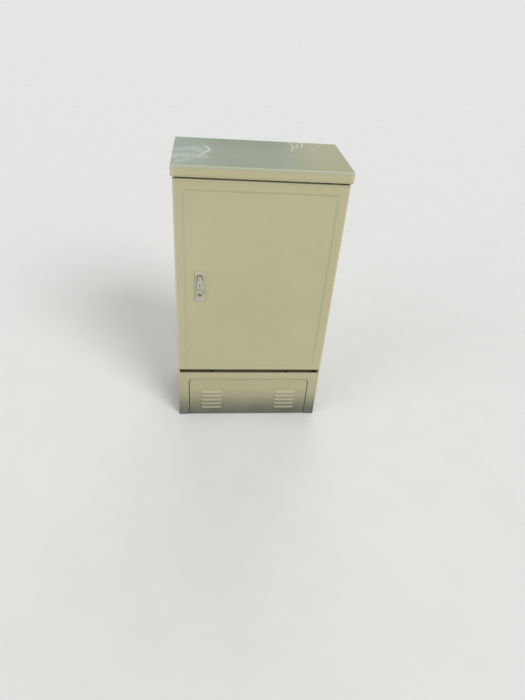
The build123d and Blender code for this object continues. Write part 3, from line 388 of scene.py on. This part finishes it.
def textured_paint(name, roof=False, sill=False):
    """Fine-textured powder coat that has stood outdoors, with worn edges, dirt and painted shade towards
    the ground, painted highlights on edges and corners, and painted shade in seams and on the sill.
    """
    paint = Finish(name)
    up = paint.facing(2)
    colour = base_coat(paint, up)
    rough = 0.46 + paint.noise(9, 3) * 0.12
    front = paint.facing(1).between(-0.4, -0.8)
    # Painted highlight down the rounded front corners
    corner_highlight = paint.x.size().between(*flank_fade) * front
    colour = paint.over(colour, worn_and_highlight_paint, corner_highlight * 0.45)
    if roof:
        colour, film = weathered_top(paint, colour, up)
        rough = rough + film * 0.16
    else:
        colour = door_marks(paint, colour, up, front)

    softened = paint.soft_edges(0.002)
    edge = paint.wear(softened)
    # Worn paint on the edges, together with a painted highlight on them
    chipped = 0.25 + paint.noise(60, 3).between(0.36, 0.6) * 0.4
    colour = paint.over(colour, roof_wear_and_highlight if roof else worn_and_highlight_paint, edge * chipped)
    colour, film, specks = dirt_and_ground_shade(paint, colour, up, front)
    # Painted shade in seams and corners, found by occlusion, with some grime
    crevice_grime_and_shade = paint.crevice(0.009).between(0.45, 0.95) * paint.z.between(*seam_fade)
    colour = paint.over(colour, grime_and_shade_colour, crevice_grime_and_shade * 0.6)
    if sill:
        # Painted shade on the sill's level faces and its upper edge, in the gap under the door
        shaded = up.between(0.5, 0.8).either(paint.z.between(*sill_fade))
        colour = paint.over(colour, sill_shade, shaded * 0.97)

    grain = paint.relief(paint.noise(520, 2, 0.55), 0.00035, 0.7, softened)
    sheet_waves = paint.noise(3.1, 1, 0.4)
    normal = paint.relief(sheet_waves + specks * 0.02, 0.006, 0.4, grain)
    rough = (rough + film * 0.2).both(0.9)
    return paint.done(Base_Color=colour, Roughness=rough, Normal=normal, Specular_IOR_Level=0.42)


def base_coat(paint, up):
    """Pebble grey with broad clouds, darker patches, a fine speckle and faint rain streaks."""
    clouds = paint.noise(2.6, 3).between(0.3, 0.72)
    colour = paint.blend(clouds, linear(pebble_grey), linear(paint_light))
    patches = paint.noise(11, 4, 0.6).between(0.45, 0.8)
    colour = paint.over(colour, paint_dark, patches * 0.16)
    speckle = (paint.noise(1400, 1) - 0.5).size()
    colour = paint.over(colour, paint_dark, speckle * 0.5)
    streaks = paint.noise(1, 4, 0.6, paint.stretched(46, 46, 2.2)).between(0.52, 0.78)
    return paint.over(colour, dust_colour, streaks * (1 - up.size()) * 0.12)


def door_marks(paint, colour, up, front):
    """Pale dust on what lies level, which is also painted light in the shaded gap, painted shade along
    the border of the door's field, and a painted highlight on the door's top edge.
    """
    # Dust on level faces, made pale as painted light in the shaded gap under the roof
    colour = paint.over(colour, dust_and_light, up.between(0.85, 0.97) * 0.85)
    # Painted shade along the step of the door's recessed field
    colour = paint.over(colour, grime_and_shade_colour, field_border(paint) * front * 0.1)
    # Painted highlight along the door's top edge, below the roof's shade
    top_edge_highlight = paint.z.between(*crest_fade) * front
    return paint.over(colour, worn_and_highlight_paint, top_edge_highlight * 0.6)


def field_border(paint):
    """1 along the round-cornered border of the door's recessed field, where its painted shade goes."""
    low, high = field_heights
    across = paint.x.size() - (field_half - field_corner)
    along = (paint.z - (low + high) / 2).size() - ((high - low) / 2 - field_corner)
    right = across.either(0.0)
    over = along.either(0.0)
    inside = across.either(along).both(0.0)
    reach = (right * right + over * over) ** 0.5 + inside - field_corner
    line = (reach + border_inset).size().between(*border_fade)
    return line * paint.y.between(*sheet_fade)


def dirt_and_ground_shade(paint, colour, up, front):
    """Darkening towards the ground, partly dirt and partly painted shade from the ground, with dried
    drops and a painted highlight on the louvre blades: gives the colour, and how strong the film and the
    drops are.
    """
    # The louvre blades' sloped upper faces take less of the darkening and get a painted highlight
    slope = up.between(0.12, 0.4) * paint.z.between(*louvre_fade)
    # Darker towards the ground: partly dirt, partly painted shade from the ground
    ground_darkening = paint.z.between(*ground_dark_fade) * (1 - slope * 0.4)
    cloud = paint.noise(9, 4, 0.6).between(0.25, 0.75)
    mottle = paint.noise(26, 5, 0.65).between(0.3, 0.7)
    wiped = front * (0.76 + cloud * 0.16) + (1 - front) * (0.4 + mottle * 0.42)
    film = ground_darkening * wiped + paint.z.between(*haze_fade) * 0.14
    colour = paint.over(colour, ground_dirt_and_shade, film)
    # Painted highlight on the louvre blades
    colour = paint.over(colour, worn_and_highlight_paint, slope * 0.1)
    drops = paint.cells(150, place=paint.stretched(1, 1, 0.8)).between(0.2, 0.12)
    chosen = (paint.noise(42, 2) + ground_darkening * 0.2).between(0.62, 0.7)
    specks = drops * chosen * paint.z.between(*drops_fade)
    return paint.over(colour, mud_colour, specks * 0.6), film, specks


def weathered_top(paint, colour, up):
    """The roof's chalked top with a painted sky reflection, painted sunlight at its right end and
    painted shade at its rear, wipe marks, worn edges with a painted highlight, and a darker line along
    the fascia's hem: gives the colour and how dull it is.
    """
    level = up.between(0.86, 0.98)
    cloud = paint.noise(7, 4, 0.6, warp=0.5).between(0.3, 0.7)
    # Painted sunlight warms the right end of the roof's top
    top = paint.blend(paint.x.between(*sunlit_fade) * 0.9, linear(roof_grey_and_sky), linear(roof_sunlit))
    top = paint.over(top, dust_colour, cloud * 0.12)
    # Painted shade on the rear of the roof, fading out to the right
    rear = paint.y.between(*rear_fade) * 0.45 * paint.x.between(*rear_left_fade)
    top = paint.over(top, roof_shade, rear)
    chalk = paint.x.between(*chalk_fade) * (0.4 + cloud * 0.3)
    top = paint.over(top, roof_chalk, chalk)
    smear = roof_smears(paint)
    top = paint.over(top, pale_smear, smear)

    # Painted highlight on the roof's rounded edges
    edge_highlight = up.between(0.15, 0.4) * up.between(0.985, 0.9)
    upright = 1 - up.size()
    hem = (paint.z - hem_middle).size().between(*hem_fade) * upright
    colour = paint.over(colour, grime_and_shade_colour, hem * 0.12)
    run_off = paint.z.between(*run_off_fade) * upright
    colour = paint.over(colour, roof_chalk, run_off * 0.34)
    colour = paint.blend(level, colour, top)
    return paint.over(colour, roof_wear_and_highlight, edge_highlight * 0.42), level * (0.4 + smear * 0.6)


def roof_smears(paint):
    """Pale wipe marks: a soft patch with a hooked end at the left, strokes and arcs at the right."""
    wobble = (paint.noise(60, 3, 0.6) - 0.5) * 0.008
    x = paint.x + wobble
    y = paint.y + wobble

    def stroke(start, end, width, strength):
        """A soft straight mark between two places."""
        run = Vector(end) - Vector(start)
        right = x - start[0]
        back = y - start[1]
        share = ((right * run.x + back * run.y) / run.length_squared).either(0.0).both(1.0)
        off = right - share * run.x
        away = back - share * run.y
        return ((off * off + away * away) ** 0.5).between(width, width * 0.2) * strength

    marks = None
    for path, width, strength in roof_marks:
        for start, end in zip(path, path[1:]):
            mark = stroke(start, end, width, strength)
            marks = mark if marks is None else marks.either(mark)
    broken = paint.noise(1, 5, 0.65, paint.stretched(60, 16, 20, 0.35), 0.8).between(0.3, 0.6)
    return marks * (0.45 + broken * 0.55)


def smooth_paint(name):
    """Smooth powder coat inside the cabinet, with worn edges, a little dust where it lies flat, and
    painted shade in its seams and corners.
    """
    paint = Finish(name)
    colour = paint.blend(paint.noise(5, 3).between(0.3, 0.7), linear(inner_light), linear(inner_dark))
    softened = paint.soft_edges(0.0006)
    colour = paint.over(colour, worn_and_highlight_paint, paint.wear(softened) * 0.25)
    dust = paint.facing(2).between(0.6, 0.95) * paint.noise(18, 5, 0.6).between(0.35, 0.7)
    colour = paint.over(colour, dust_colour, dust * 0.5)
    # Painted shade in seams and corners, found by occlusion
    colour = paint.over(colour, grime_and_shade_colour, paint.crevice(0.008).between(0.5, 0.95) * 0.4)
    peel = paint.relief(paint.noise(240, 2), 0.00012, 0.5, softened)
    return paint.done(Base_Color=colour, Roughness=0.36 + paint.noise(14, 3) * 0.14, Normal=peel)


def spangled_zinc(name):
    """Hot-dip zinc on steel, with its crystal pattern."""
    zinc = Finish(name)
    tone = zinc.part_of(zinc.cells(130, "Color"), 0)
    colour = zinc.blend(tone, linear(zinc_dark), linear(zinc_light))
    stain = zinc.noise(24, 5, 0.62).between(0.5, 0.75)
    colour = zinc.over(colour, zinc_stain, stain * 0.35)
    softened = zinc.soft_edges(0.0006)
    normal = zinc.relief(zinc.noise(180, 3), 0.00015, 0.4, softened)
    rough = 0.34 + tone * 0.16 + stain * 0.15
    return zinc.done(Base_Color=colour, Metallic=0.9, Roughness=rough, Normal=normal)


def bright_zinc(name):
    """Bright zinc plate on screws, pins and bolts."""
    plate = Finish(name)
    tone = plate.noise(120, 4, 0.6)
    colour = plate.blend(tone.between(0.35, 0.7), linear(plated_colour), linear(plated_dark))
    softened = plate.soft_edges(0.0003)
    colour = plate.over(colour, plated_edge, plate.wear(softened) * 0.5)
    normal = plate.relief(plate.noise(700, 2), 0.00005, 0.4, softened)
    return plate.done(Base_Color=colour, Metallic=1.0, Roughness=0.26 + tone * 0.16, Normal=normal)


def satin_casting(name, light, dark, hollows=()):
    """Satin die-cast metal with a painted highlight on its edges, darker in its small hollows, and
    painted shade in its crevices.
    """
    cast = Finish(name)
    cloud = cast.noise(90, 4, 0.6)
    colour = cast.blend(cloud.between(0.3, 0.75), linear(light), linear(dark))
    softened = cast.soft_edges(0.0007)
    bright = [part * 1.12 for part in light]
    # Painted highlight on the edges
    colour = cast.over(colour, bright, cast.wear(softened) * 0.6)
    # Darker in the lever's small hollows
    for x, z, wide, high in hollows:
        across = (cast.x - x) / wide
        along = (cast.z - z) / high
        inside = (across * across + along * along).between(1.3, 0.7)
        colour = cast.over(colour, hollow_darkening, inside * 0.9)
    # Painted shade in crevices, found by occlusion
    crevice_grime_and_shade = cast.crevice(0.004).between(0.45, 0.9)
    colour = cast.over(colour, hub_shade_dark, crevice_grime_and_shade * 0.7)
    scratches = cast.noise(1, 3, 0.6, cast.stretched(900, 900, 60)).between(0.55, 0.75)
    rough = 0.4 + cloud * 0.14 + scratches * 0.1
    normal = cast.relief(cast.noise(1500, 2) + scratches * 0.4, 0.00004, 0.5, softened)
    return cast.done(Base_Color=colour, Metallic=0.5, Roughness=rough, Normal=normal)


def dark_plug(name):
    """Darker metal of the key plug, worn at its rim."""
    plug = Finish(name)
    tone = plug.noise(300, 3)
    colour = plug.blend(tone, linear(plug_dark), linear(plug_light))
    softened = plug.soft_edges(0.0003)
    colour = plug.over(colour, cast_dark, plug.wear(softened) * 0.5)
    normal = plug.relief(tone, 0.00004, 0.5, softened)
    return plug.done(Base_Color=colour, Metallic=0.6, Roughness=0.36 + tone * 0.14, Normal=normal)


def moulded_rubber(name):
    """Black rubber, dull with a bloom of dust."""
    rubber = Finish(name)
    bloom = rubber.noise(70, 5, 0.65).between(0.4, 0.75)
    colour = rubber.blend(bloom * 0.35, linear(rubber_colour), linear(rubber_bloom))
    normal = rubber.relief(rubber.noise(900, 3), 0.00008, 0.6, rubber.soft_edges(0.0006))
    return rubber.done(Base_Color=colour, Roughness=0.66 + bloom * 0.2, Normal=normal)


def moulded_plastic(name, colour, rough=0.35, alpha=1.0):
    """Moulded plastic with a faint eroded texture and flow marks."""
    plastic = Finish(name)
    shade = [part * 0.9 for part in colour]
    flow = plastic.noise(1, 3, 0.5, plastic.stretched(26, 40, 30), 0.8)
    tint = plastic.blend(flow.between(0.35, 0.75), linear(colour), linear(shade))
    softened = plastic.soft_edges(0.0005)
    normal = plastic.relief(plastic.noise(800, 2), 0.00006, 0.5, softened)
    plastic.done(Base_Color=tint, Roughness=rough + flow * 0.14, Normal=normal)
    if alpha < 1:
        plastic.done(Alpha=alpha)
    return plastic.material


def drawn_brass(name):
    """Drawn brass bar with long faint marks and some tarnish."""
    brass = Finish(name)
    tarnish = brass.noise(30, 5, 0.65).between(0.4, 0.75)
    colour = brass.blend(tarnish * 0.6, linear(brass_colour), linear(tarnish_colour))
    marks = brass.noise(1, 3, 0.6, brass.stretched(8, 500, 900))
    normal = brass.relief(marks, 0.00005, 0.5, brass.soft_edges(0.0005))
    return brass.done(Base_Color=colour, Metallic=1.0, Roughness=0.26 + tarnish * 0.25, Normal=normal)


finishes = {
    "exterior_paint": textured_paint("exterior_paint"),
    "roof_paint": textured_paint("roof_paint", roof=True),
    "sill_paint": textured_paint("sill_paint", sill=True),
    "interior_paint": smooth_paint("interior_paint"),
    "galvanised_steel": spangled_zinc("galvanised_steel"),
    "plated_steel": bright_zinc("plated_steel"),
    "zinc_casting": satin_casting("zinc_casting", cast_light, cast_dark),
    "lever_casting": satin_casting("lever_casting", cast_light, cast_dark, hollows),
    "hub_casting": satin_casting("hub_casting", hub_shade_light, hub_shade_dark),
    "oiled_steel": satin_casting("oiled_steel", oil_shade_light, oil_shade_dark),
    "dark_lock_metal": dark_plug("dark_lock_metal"),
    "black_rubber": moulded_rubber("black_rubber"),
    "grey_plastic": moulded_plastic("grey_plastic", nylon_colour, 0.45),
    "brass_bar": drawn_brass("brass_bar"),
    "red_insulator": moulded_plastic("red_insulator", insulator_red, 0.3),
    "tray_plastic": moulded_plastic("tray_plastic", tray_white, 0.32),
    "clear_lid": moulded_plastic("clear_lid", lid_tint, 0.12, alpha=0.35),
    "blue_adapter": moulded_plastic("blue_adapter", adapter_blue, 0.3),
    "cap_plastic": moulded_plastic("cap_plastic", cap_white),
}

# Nodes with a finish of their own in place of their slot's; the dark oiled steel is painted shade on the
# rods, pins and bolts seen in the door's gaps
own_finish = {
    "roof_cap": "roof_paint",
    "plinth_frame": "sill_paint",
    "lever_handle": "lever_casting",
    "lock_hub": "hub_casting",
    "cover_bolts": "oiled_steel",
    "lower_lock_rod": "oiled_steel",
    "upper_lock_rod": "oiled_steel",
    "hinge_pin_lower": "oiled_steel",
    "hinge_pin_upper": "oiled_steel",
}


def dress(node, material):
    """Gives a frame node its finish."""
    slots = nodes[node].data.materials
    if len(slots) == 0:
        slots.append(material)
    for index in range(len(slots)):
        slots[index] = material


slot_of = {part["node"]: part["material_slot"] for part in frame["record"]["subparts"]}
for node, slot in slot_of.items():
    dress(node, finishes[own_finish.get(node, slot)])


class Pattern(Graph):
    """A Geometry Nodes tree with named sizes that puts one shape at every point of a mesh."""

    def __init__(self, name, **sizes):
        super().__init__(bpy.data.node_groups.new(name, "GeometryNodeTree"))
        sockets = self.tree.interface
        sockets.new_socket("Shape", in_out="OUTPUT", socket_type="NodeSocketGeometry")
        sockets.new_socket("Points", in_out="INPUT", socket_type="NodeSocketGeometry")
        skin = sockets.new_socket("Skin", in_out="INPUT", socket_type="NodeSocketMaterial")
        self.inputs = {"skin": skin.identifier}
        for size, value in sizes.items():
            socket = sockets.new_socket(size, in_out="INPUT", socket_type="NodeSocketFloat")
            socket.default_value = value
            self.inputs[size] = socket.identifier
        self.entry = self.tree.nodes.new("NodeGroupInput")
        self.exit = self.tree.nodes.new("NodeGroupOutput")

    def given(self, name):
        """A named input of the tree."""
        return Wire(self, self.entry.outputs[name])

    def vector(self, x=0.0, y=0.0, z=0.0):
        """A place or a size from its three parts."""
        return self.node("ShaderNodeCombineXYZ", {}, {0: x, 1: y, 2: z})

    def moved(self, shape, place, scale=(1, 1, 1)):
        """A shape scaled and moved to a place."""
        values = {"Geometry": shape, "Translation": place, "Scale": scale}
        return self.node("GeometryNodeTransform", {}, values)

    def disc(self, radius, height, start=0.0, top=None, sides=24):
        """An upright cylinder or cone from a height upwards."""
        values = {"Vertices": sides, "Radius Bottom": radius, "Depth": height}
        values["Radius Top"] = radius if top is None else top
        return self.moved(self.node("GeometryNodeMeshCone", {}, values), self.vector(z=start))

    def dome(self, radius, height, start=0.0):
        """A flattened ball about a height, smooth shaded."""
        values = {"Segments": 24, "Rings": 12, "Radius": radius}
        ball = self.node("GeometryNodeMeshUVSphere", {}, values)
        ball = self.node("GeometryNodeSetShadeSmooth", {}, {"Geometry": ball})
        return self.moved(ball, self.vector(z=start), self.vector(1, 1, height / radius))

    def bar(self, wide, long, tall, place=(0, 0, 0)):
        """A block about a place."""
        cube = self.node("GeometryNodeMeshCube", {}, {"Size": self.vector(wide, long, tall)})
        return self.moved(cube, place)

    def joined(self, *shapes):
        """Shapes as one."""
        return self.node("GeometryNodeJoinGeometry", {}, {0: list(shapes)})

    def at_points(self, shape):
        """Ends the tree with the shape at every point, its top turned to the outward direction."""
        outward = self.node("GeometryNodeInputNamedAttribute", {"data_type": "FLOAT_VECTOR"},
                            {"Name": "outward"})
        turn = self.node("FunctionNodeAlignRotationToVector", {"axis": "Z"}, {"Vector": outward})
        values = {"Points": self.given("Points"), "Instance": shape, "Rotation": turn}
        placed = self.node("GeometryNodeInstanceOnPoints", {}, values)
        real = self.node("GeometryNodeRealizeInstances", {}, {0: placed})
        values = {"Geometry": real, "Material": self.given("Skin")}
        self.set(self.exit.inputs[0], self.node("GeometryNodeSetMaterial", {}, values))
        return self


def rivet_pattern():
    """Domed rivet on a thin collar."""
    tree = Pattern("rivet", radius=0.003, height=0.0016)
    radius, height = tree.given("radius"), tree.given("height")
    collar = tree.disc(radius * 1.22, height * 0.16)
    return tree.at_points(tree.joined(collar, tree.dome(radius, height)))


def screw_pattern():
    """Pan head screw with a cross recess, on a washer."""
    tree = Pattern("screw", radius=0.0035, height=0.0022)
    radius, height = tree.given("radius"), tree.given("height")
    washer = tree.disc(radius * 1.35, height * 0.22)
    skirt = tree.disc(radius, height * 0.4, height * 0.2, radius * 0.97)
    crown = tree.dome(radius * 0.97, height * 0.42, height * 0.58)
    head = tree.node("GeometryNodeMeshBoolean", {"operation": "UNION"}, {"Mesh": [skirt, crown]})
    slit = height * 0.5
    lift = tree.vector(z=height)
    cross = tree.joined(tree.bar(radius * 1.1, radius * 0.24, slit, lift),
                        tree.bar(radius * 0.24, radius * 1.1, slit, lift))
    recessed = tree.node("GeometryNodeMeshBoolean", {"operation": "DIFFERENCE"},
                         {"Mesh 1": head, "Mesh 2": [cross]})
    return tree.at_points(tree.joined(washer, recessed))


def bolt_pattern():
    """Hexagon bolt with a chamfered head, on a washer."""
    tree = Pattern("bolt", radius=0.0055, height=0.0035)
    radius, height = tree.given("radius"), tree.given("height")
    washer = tree.disc(radius * 1.25, height * 0.25, top=radius * 1.22)
    head = tree.disc(radius, height * 0.6, height * 0.25, sides=6)
    chamfer = tree.disc(radius, height * 0.15, height * 0.85, top=radius * 0.86, sides=6)
    return tree.at_points(tree.joined(washer, head, chamfer))


def adapter_pattern():
    """Through adapter: stepped body, latch rib, collar and flange."""
    tree = Pattern("adapter", wide=0.0128, long=0.03, tall=0.0093, flange=0.016)
    wide, long, tall = tree.given("wide"), tree.given("long"), tree.given("tall")
    core = tree.bar(wide * 0.98, long, tall * 0.86)
    spine = tree.bar(wide * 0.86, long * 0.985, tall * 0.985)
    rib = tree.bar(wide * 0.3, long * 0.5, tall * 0.08, tree.vector(y=long * -0.22, z=tall * 0.5))
    collar = tree.bar(wide, long * 0.05, tall, tree.vector(y=long * -0.47))
    plate = tree.bar(tree.given("flange"), long * 0.055, tall * 1.26)
    return tree.at_points(tree.joined(core, spine, rib, collar, plate))


def cap_pattern():
    """Dust cap with a rim and grip ribs, in front of an adapter."""
    tree = Pattern("dust_cap", wide=0.0098, long=0.007, tall=0.0063)
    wide, long, tall = tree.given("wide"), tree.given("long"), tree.given("tall")
    plug = tree.bar(wide * 0.9, long * 0.94, tall * 0.88)
    rim = tree.bar(wide, long * 0.14, tall, tree.vector(y=long * -0.43))
    ribs = [tree.bar(wide, long * 0.07, tall, tree.vector(y=long * share))
            for share in (-0.2, -0.02, 0.16)]
    return tree.at_points(tree.joined(plug, rim, *ribs))


def seal_pattern():
    """Bulb seal that runs once round the door."""
    tree = Pattern("seal", wide=0.5, high=0.7, thick=0.0046, broad=0.01, corner=0.006)
    sizes = {"Width": tree.given("wide"), "Height": tree.given("high")}
    path = tree.node("GeometryNodeCurvePrimitiveQuadrilateral", {"mode": "RECTANGLE"}, sizes)
    rounded = tree.node("GeometryNodeFilletCurve", {"mode": "POLY"},
                        {"Curve": path, "Radius": tree.given("corner"), "Count": 6})
    circle = tree.node("GeometryNodeCurvePrimitiveCircle", {"mode": "RADIUS"},
                       {"Resolution": 20, "Radius": 0.5})
    section = tree.vector(tree.given("broad"), tree.given("thick"), 1)
    oval = tree.moved(circle, tree.vector(), section)
    tube = tree.node("GeometryNodeCurveToMesh", {}, {"Curve": rounded, "Profile Curve": oval})
    return tree.at_points(tree.node("GeometryNodeSetShadeSmooth", {}, {"Geometry": tube}))


def repeat(name, pattern, spots, body, slot, finish, hides=None, **sizes):
    """One plain mesh with the pattern's shape at every spot, a place and its outward direction."""
    points = bpy.data.meshes.new(name)
    points.from_pydata([place for place, outward in spots], [], [])
    directions = points.attributes.new("outward", "FLOAT_VECTOR", "POINT")
    for index, (place, outward) in enumerate(spots):
        directions.data[index].vector = outward
    piece = bpy.data.objects.new(name, points)
    bpy.context.scene.collection.objects.link(piece)
    grow = piece.modifiers.new("pattern", "NODES")
    grow.node_group = pattern.tree
    grow[pattern.inputs["skin"]] = finishes[finish]
    for size, value in sizes.items():
        grow[pattern.inputs[size]] = value
    grown = piece.evaluated_get(bpy.context.evaluated_depsgraph_get())
    mesh = bpy.data.meshes.new_from_object(grown)
    piece.modifiers.remove(grow)
    piece.data = mesh
    mesh.name = name
    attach(piece, body)
    if hides:
        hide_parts(hides)


# Sheets and flanges that carry the fasteners
sheet = 0.0015
rack_flange_middle = 0.0085
stiffener_flange_middle = 0.0045
lock_case_depth = 0.013
spool_wall = 0.003

# Screw rows of the floor plate, from its front and its rear edge
plate_front_row = 0.014
plate_rear_row = 0.012

# Bolts of the earth bar
bar_pitch = 0.026
bar_bolts = 8

# Half the lengths of an adapter and its cap, and the width of the door's seal
adapter_half = 0.015
cap_half = 0.0035
seal_width = 0.01

frontwards = (0, -1, 0)
rearwards = (0, 1, 0)
upwards = (0, 0, 1)


def grid(xs, y, zs, outward):
    """Places in rows on an upright face."""
    return [((x, y, z), outward) for x in xs for z in zs]


def pair(low, high, y, outward, margin):
    """Two places at a block's middle height, a margin inside its ends."""
    return grid(shares(low.x, high.x, 2, margin), y, [(low.z + high.z) / 2], outward)


def centre(low, high, y, outward):
    """The place in the middle of a block's face."""
    return grid([(low.x + high.x) / 2], y, [(low.z + high.z) / 2], outward)


def rear_wall_fasteners():
    """Screws of the rack and the storage panel, and their rivets on the outside of the rear wall."""
    rear = box_of("body_shell")[1].y
    screws = []
    rivets = []
    for name, inwards in (("rack_side_left", 1), ("rack_side_right", -1)):
        low, high = box_of(name)
        x = (low.x if inwards > 0 else high.x) + inwards * rack_flange_middle
        heights = shares(low.z, high.z, 5, margin=0.022)
        screws += grid([x], high.y - sheet, heights, frontwards)
        rivets += grid([x], rear, heights, rearwards)
    low, high = box_of("storage_panel")
    columns = shares(low.x, high.x, 2, margin=0.014)
    heights = shares(low.z, high.z, 4, margin=0.018)
    screws += grid(columns, low.y, heights, frontwards)
    rivets += grid(columns, rear, heights, rearwards)
    return screws, rivets


def cabinet_screws_and_rivets():
    """Screws and rivets that stay with the cabinet."""
    screws, rivets = rear_wall_fasteners()
    for low, high in solids_of("cable_clamps"):
        screws += pair(low, high, low.y, frontwards, margin=0.0045)
    low, high = box_of("front_frame")
    columns = shares(low.x, high.x, 2, margin=0.0062)
    screws += grid(columns, low.y, shares(low.z, high.z, 6, margin=0.05), frontwards)
    low, high = box_of("floor_plate")
    for y in (low.y + plate_front_row, high.y - plate_rear_row):
        screws += [((x, y, high.z), upwards) for x in shares(low.x, high.x, 4, margin=0.03)]
    repeat("cabinet_screws", screw_pattern(), screws, "cabinet", "plated_steel", "plated_steel")
    repeat("rear_rivets", rivet_pattern(), rivets, "cabinet", "exterior_paint", "exterior_paint",
           radius=0.0034, height=0.0013)


def cabinet_bolts():
    """Bolts of the earth bar, its insulators and the spools."""
    bar_low, bar_high = box_of("earth_bar")
    middle = (bar_low.z + bar_high.z) / 2
    columns = [bar_pitch * (index - (bar_bolts - 1) / 2) for index in range(bar_bolts)]
    bolts = grid(columns, bar_low.y, [middle], frontwards)
    for low, high in solids_of("earth_insulators"):
        bolts += grid([(low.x + high.x) / 2], bar_low.y, [middle], frontwards)
    for low, high in solids_of("fibre_spools"):
        bolts += centre(low, high, high.y - spool_wall, frontwards)
    repeat("cabinet_bolts", bolt_pattern(), bolts, "cabinet", "plated_steel", "plated_steel")


def door_fasteners():
    """Rivets of the stiffeners and screws of the lock, guides and hinge blocks."""
    rivets = []
    for low, high in solids_of("door_stiffeners"):
        columns = shares(low.x, high.x, 2, stiffener_flange_middle)
        rivets += grid(columns, low.y + sheet, shares(low.z, high.z, 9, margin=0.025), rearwards)
    repeat("door_rivets", rivet_pattern(), rivets, "door", "interior_paint", "interior_paint",
           radius=0.0029, height=0.0014)
    screws = []
    for low, high in solids_of("rod_guides"):
        screws += pair(low, high, high.y, rearwards, margin=0.0027)
    for name in ("hinge_block_lower", "hinge_block_upper"):
        low, high = box_of(name)
        screws += pair(low, high, high.y, rearwards, margin=0.0036)
    low, high = box_of("lock_case")
    columns = shares(low.x, high.x, 2, margin=0.005)
    screws += grid(columns, low.y + lock_case_depth, shares(low.z, high.z, 2, margin=0.005), rearwards)
    repeat("door_screws", screw_pattern(), screws, "door", "plated_steel", "plated_steel",
           radius=0.0023, height=0.0016)


def tray_pieces():
    """Adapters and dust caps in every tray's front, and the screws of its lid."""
    adapter, cap, screw = adapter_pattern(), cap_pattern(), screw_pattern()
    for body in sorted(name for name in bodies if name.startswith("tray_")):
        number = body.rsplit("_", 1)[1]
        node = f"tray_adapters_{number}"
        sockets = []
        caps = []
        for low, high in solids_of(node):
            middle = (low + high) / 2
            sockets.append(((middle.x, high.y - adapter_half, middle.z), upwards))
            caps.append(((middle.x, low.y + cap_half, middle.z), upwards))
        repeat(f"adapters_{number}", adapter, sockets, body, "blue_adapter", "blue_adapter", node)
        repeat(f"dust_caps_{number}", cap, caps, body, "blue_adapter", "cap_plastic")
        low, high = box_of(f"tray_cover_{number}")
        corners = [((x, y, high.z), upwards)
                   for x in shares(low.x, high.x, 2, margin=0.01)
                   for y in shares(low.y, high.y, 2, margin=0.01)]
        repeat(f"lid_screws_{number}", screw, corners, body, "plated_steel", "plated_steel",
               radius=0.003)


def seal_piece():
    """Bulb seal in place of the plain ring on the door's lips."""
    low, high = box_of("door_seal")
    middle = (low + high) / 2
    repeat("door_bulb_seal", seal_pattern(), [(middle, frontwards)], "door", "black_rubber",
           "black_rubber", "door_seal", wide=high.x - low.x - seal_width,
           high=high.z - low.z - seal_width, thick=high.y - low.y, broad=seal_width)


def stage():
    """Pale floor that keeps the cabinet's shadow."""
    pale = Finish("floor")
    tone = pale.blend(pale.noise(6, 4), linear(floor_colour), linear(horizon_colour))
    pale.done(Base_Color=tone, Roughness=0.9)
    corners = [(right * floor_half, back * floor_half, 0)
               for right, back in ((-1, -1), (1, -1), (1, 1), (-1, 1))]
    mesh = bpy.data.meshes.new("floor")
    mesh.from_pydata(corners, [], [(0, 1, 2, 3)])
    mesh.materials.append(pale.material)
    floor = bpy.data.objects.new("floor", mesh)
    bpy.context.scene.collection.objects.link(floor)


def sun(name, towards, strength, spread):
    """A distant lamp that shines from a direction, softened by its spread in degrees."""
    data = bpy.data.lights.new(name, "SUN")
    data.energy = strength
    data.angle = radians(spread)
    holder = bpy.data.objects.new(name, data)
    holder.rotation_euler = Vector(towards).to_track_quat("Z", "Y").to_euler()
    bpy.context.scene.collection.objects.link(holder)


def light():
    """An even room that is seen pale, with the lamps."""
    world = bpy.data.worlds.new("studio")
    world.use_nodes = True
    room = Graph(world.node_tree)
    seen = room.node("ShaderNodeLightPath", output="Is Camera Ray")
    for ray in ("Is Glossy Ray", "Is Transmission Ray"):
        seen = seen.either(room.node("ShaderNodeLightPath", output=ray))
    even = room.node("ShaderNodeBackground", {}, {0: (1, 1, 1, 1), 1: room_strength})
    pale = room.node("ShaderNodeBackground", {}, {0: linear(horizon_colour), 1: 1.0})
    mixed = room.node("ShaderNodeMixShader", {}, {0: seen, 1: even, 2: pale})
    room.set(room.tree.nodes.new("ShaderNodeOutputWorld").inputs[0], mixed)
    bpy.context.scene.world = world
    for name, (towards, strength, spread) in lamps.items():
        sun(name, towards, strength, spread)


def camera():
    """The photograph's viewpoint."""
    forward = Vector((sin(yaw) * cos(pitch), cos(yaw) * cos(pitch), -sin(pitch)))
    right = Vector((cos(yaw), -sin(yaw), 0))
    down = forward.cross(right)
    across = cos(roll) * right + sin(roll) * down
    below = cos(roll) * down - sin(roll) * right
    turned = Matrix((across, -below, -forward)).transposed().to_4x4()
    data = bpy.data.cameras.new("camera")
    data.sensor_width = 36
    data.lens = data.sensor_width * focal_pixels / photo_height
    data.clip_start = 0.01
    holder = bpy.data.objects.new("camera", data)
    holder.matrix_world = Matrix.Translation(eye) @ turned
    bpy.context.scene.collection.objects.link(holder)
    bpy.context.scene.camera = holder


cabinet_screws_and_rivets()
cabinet_bolts()
door_fasteners()
tray_pieces()
seal_piece()
stage()
light()
camera()
bpy.context.scene.view_settings.view_transform = "Standard"
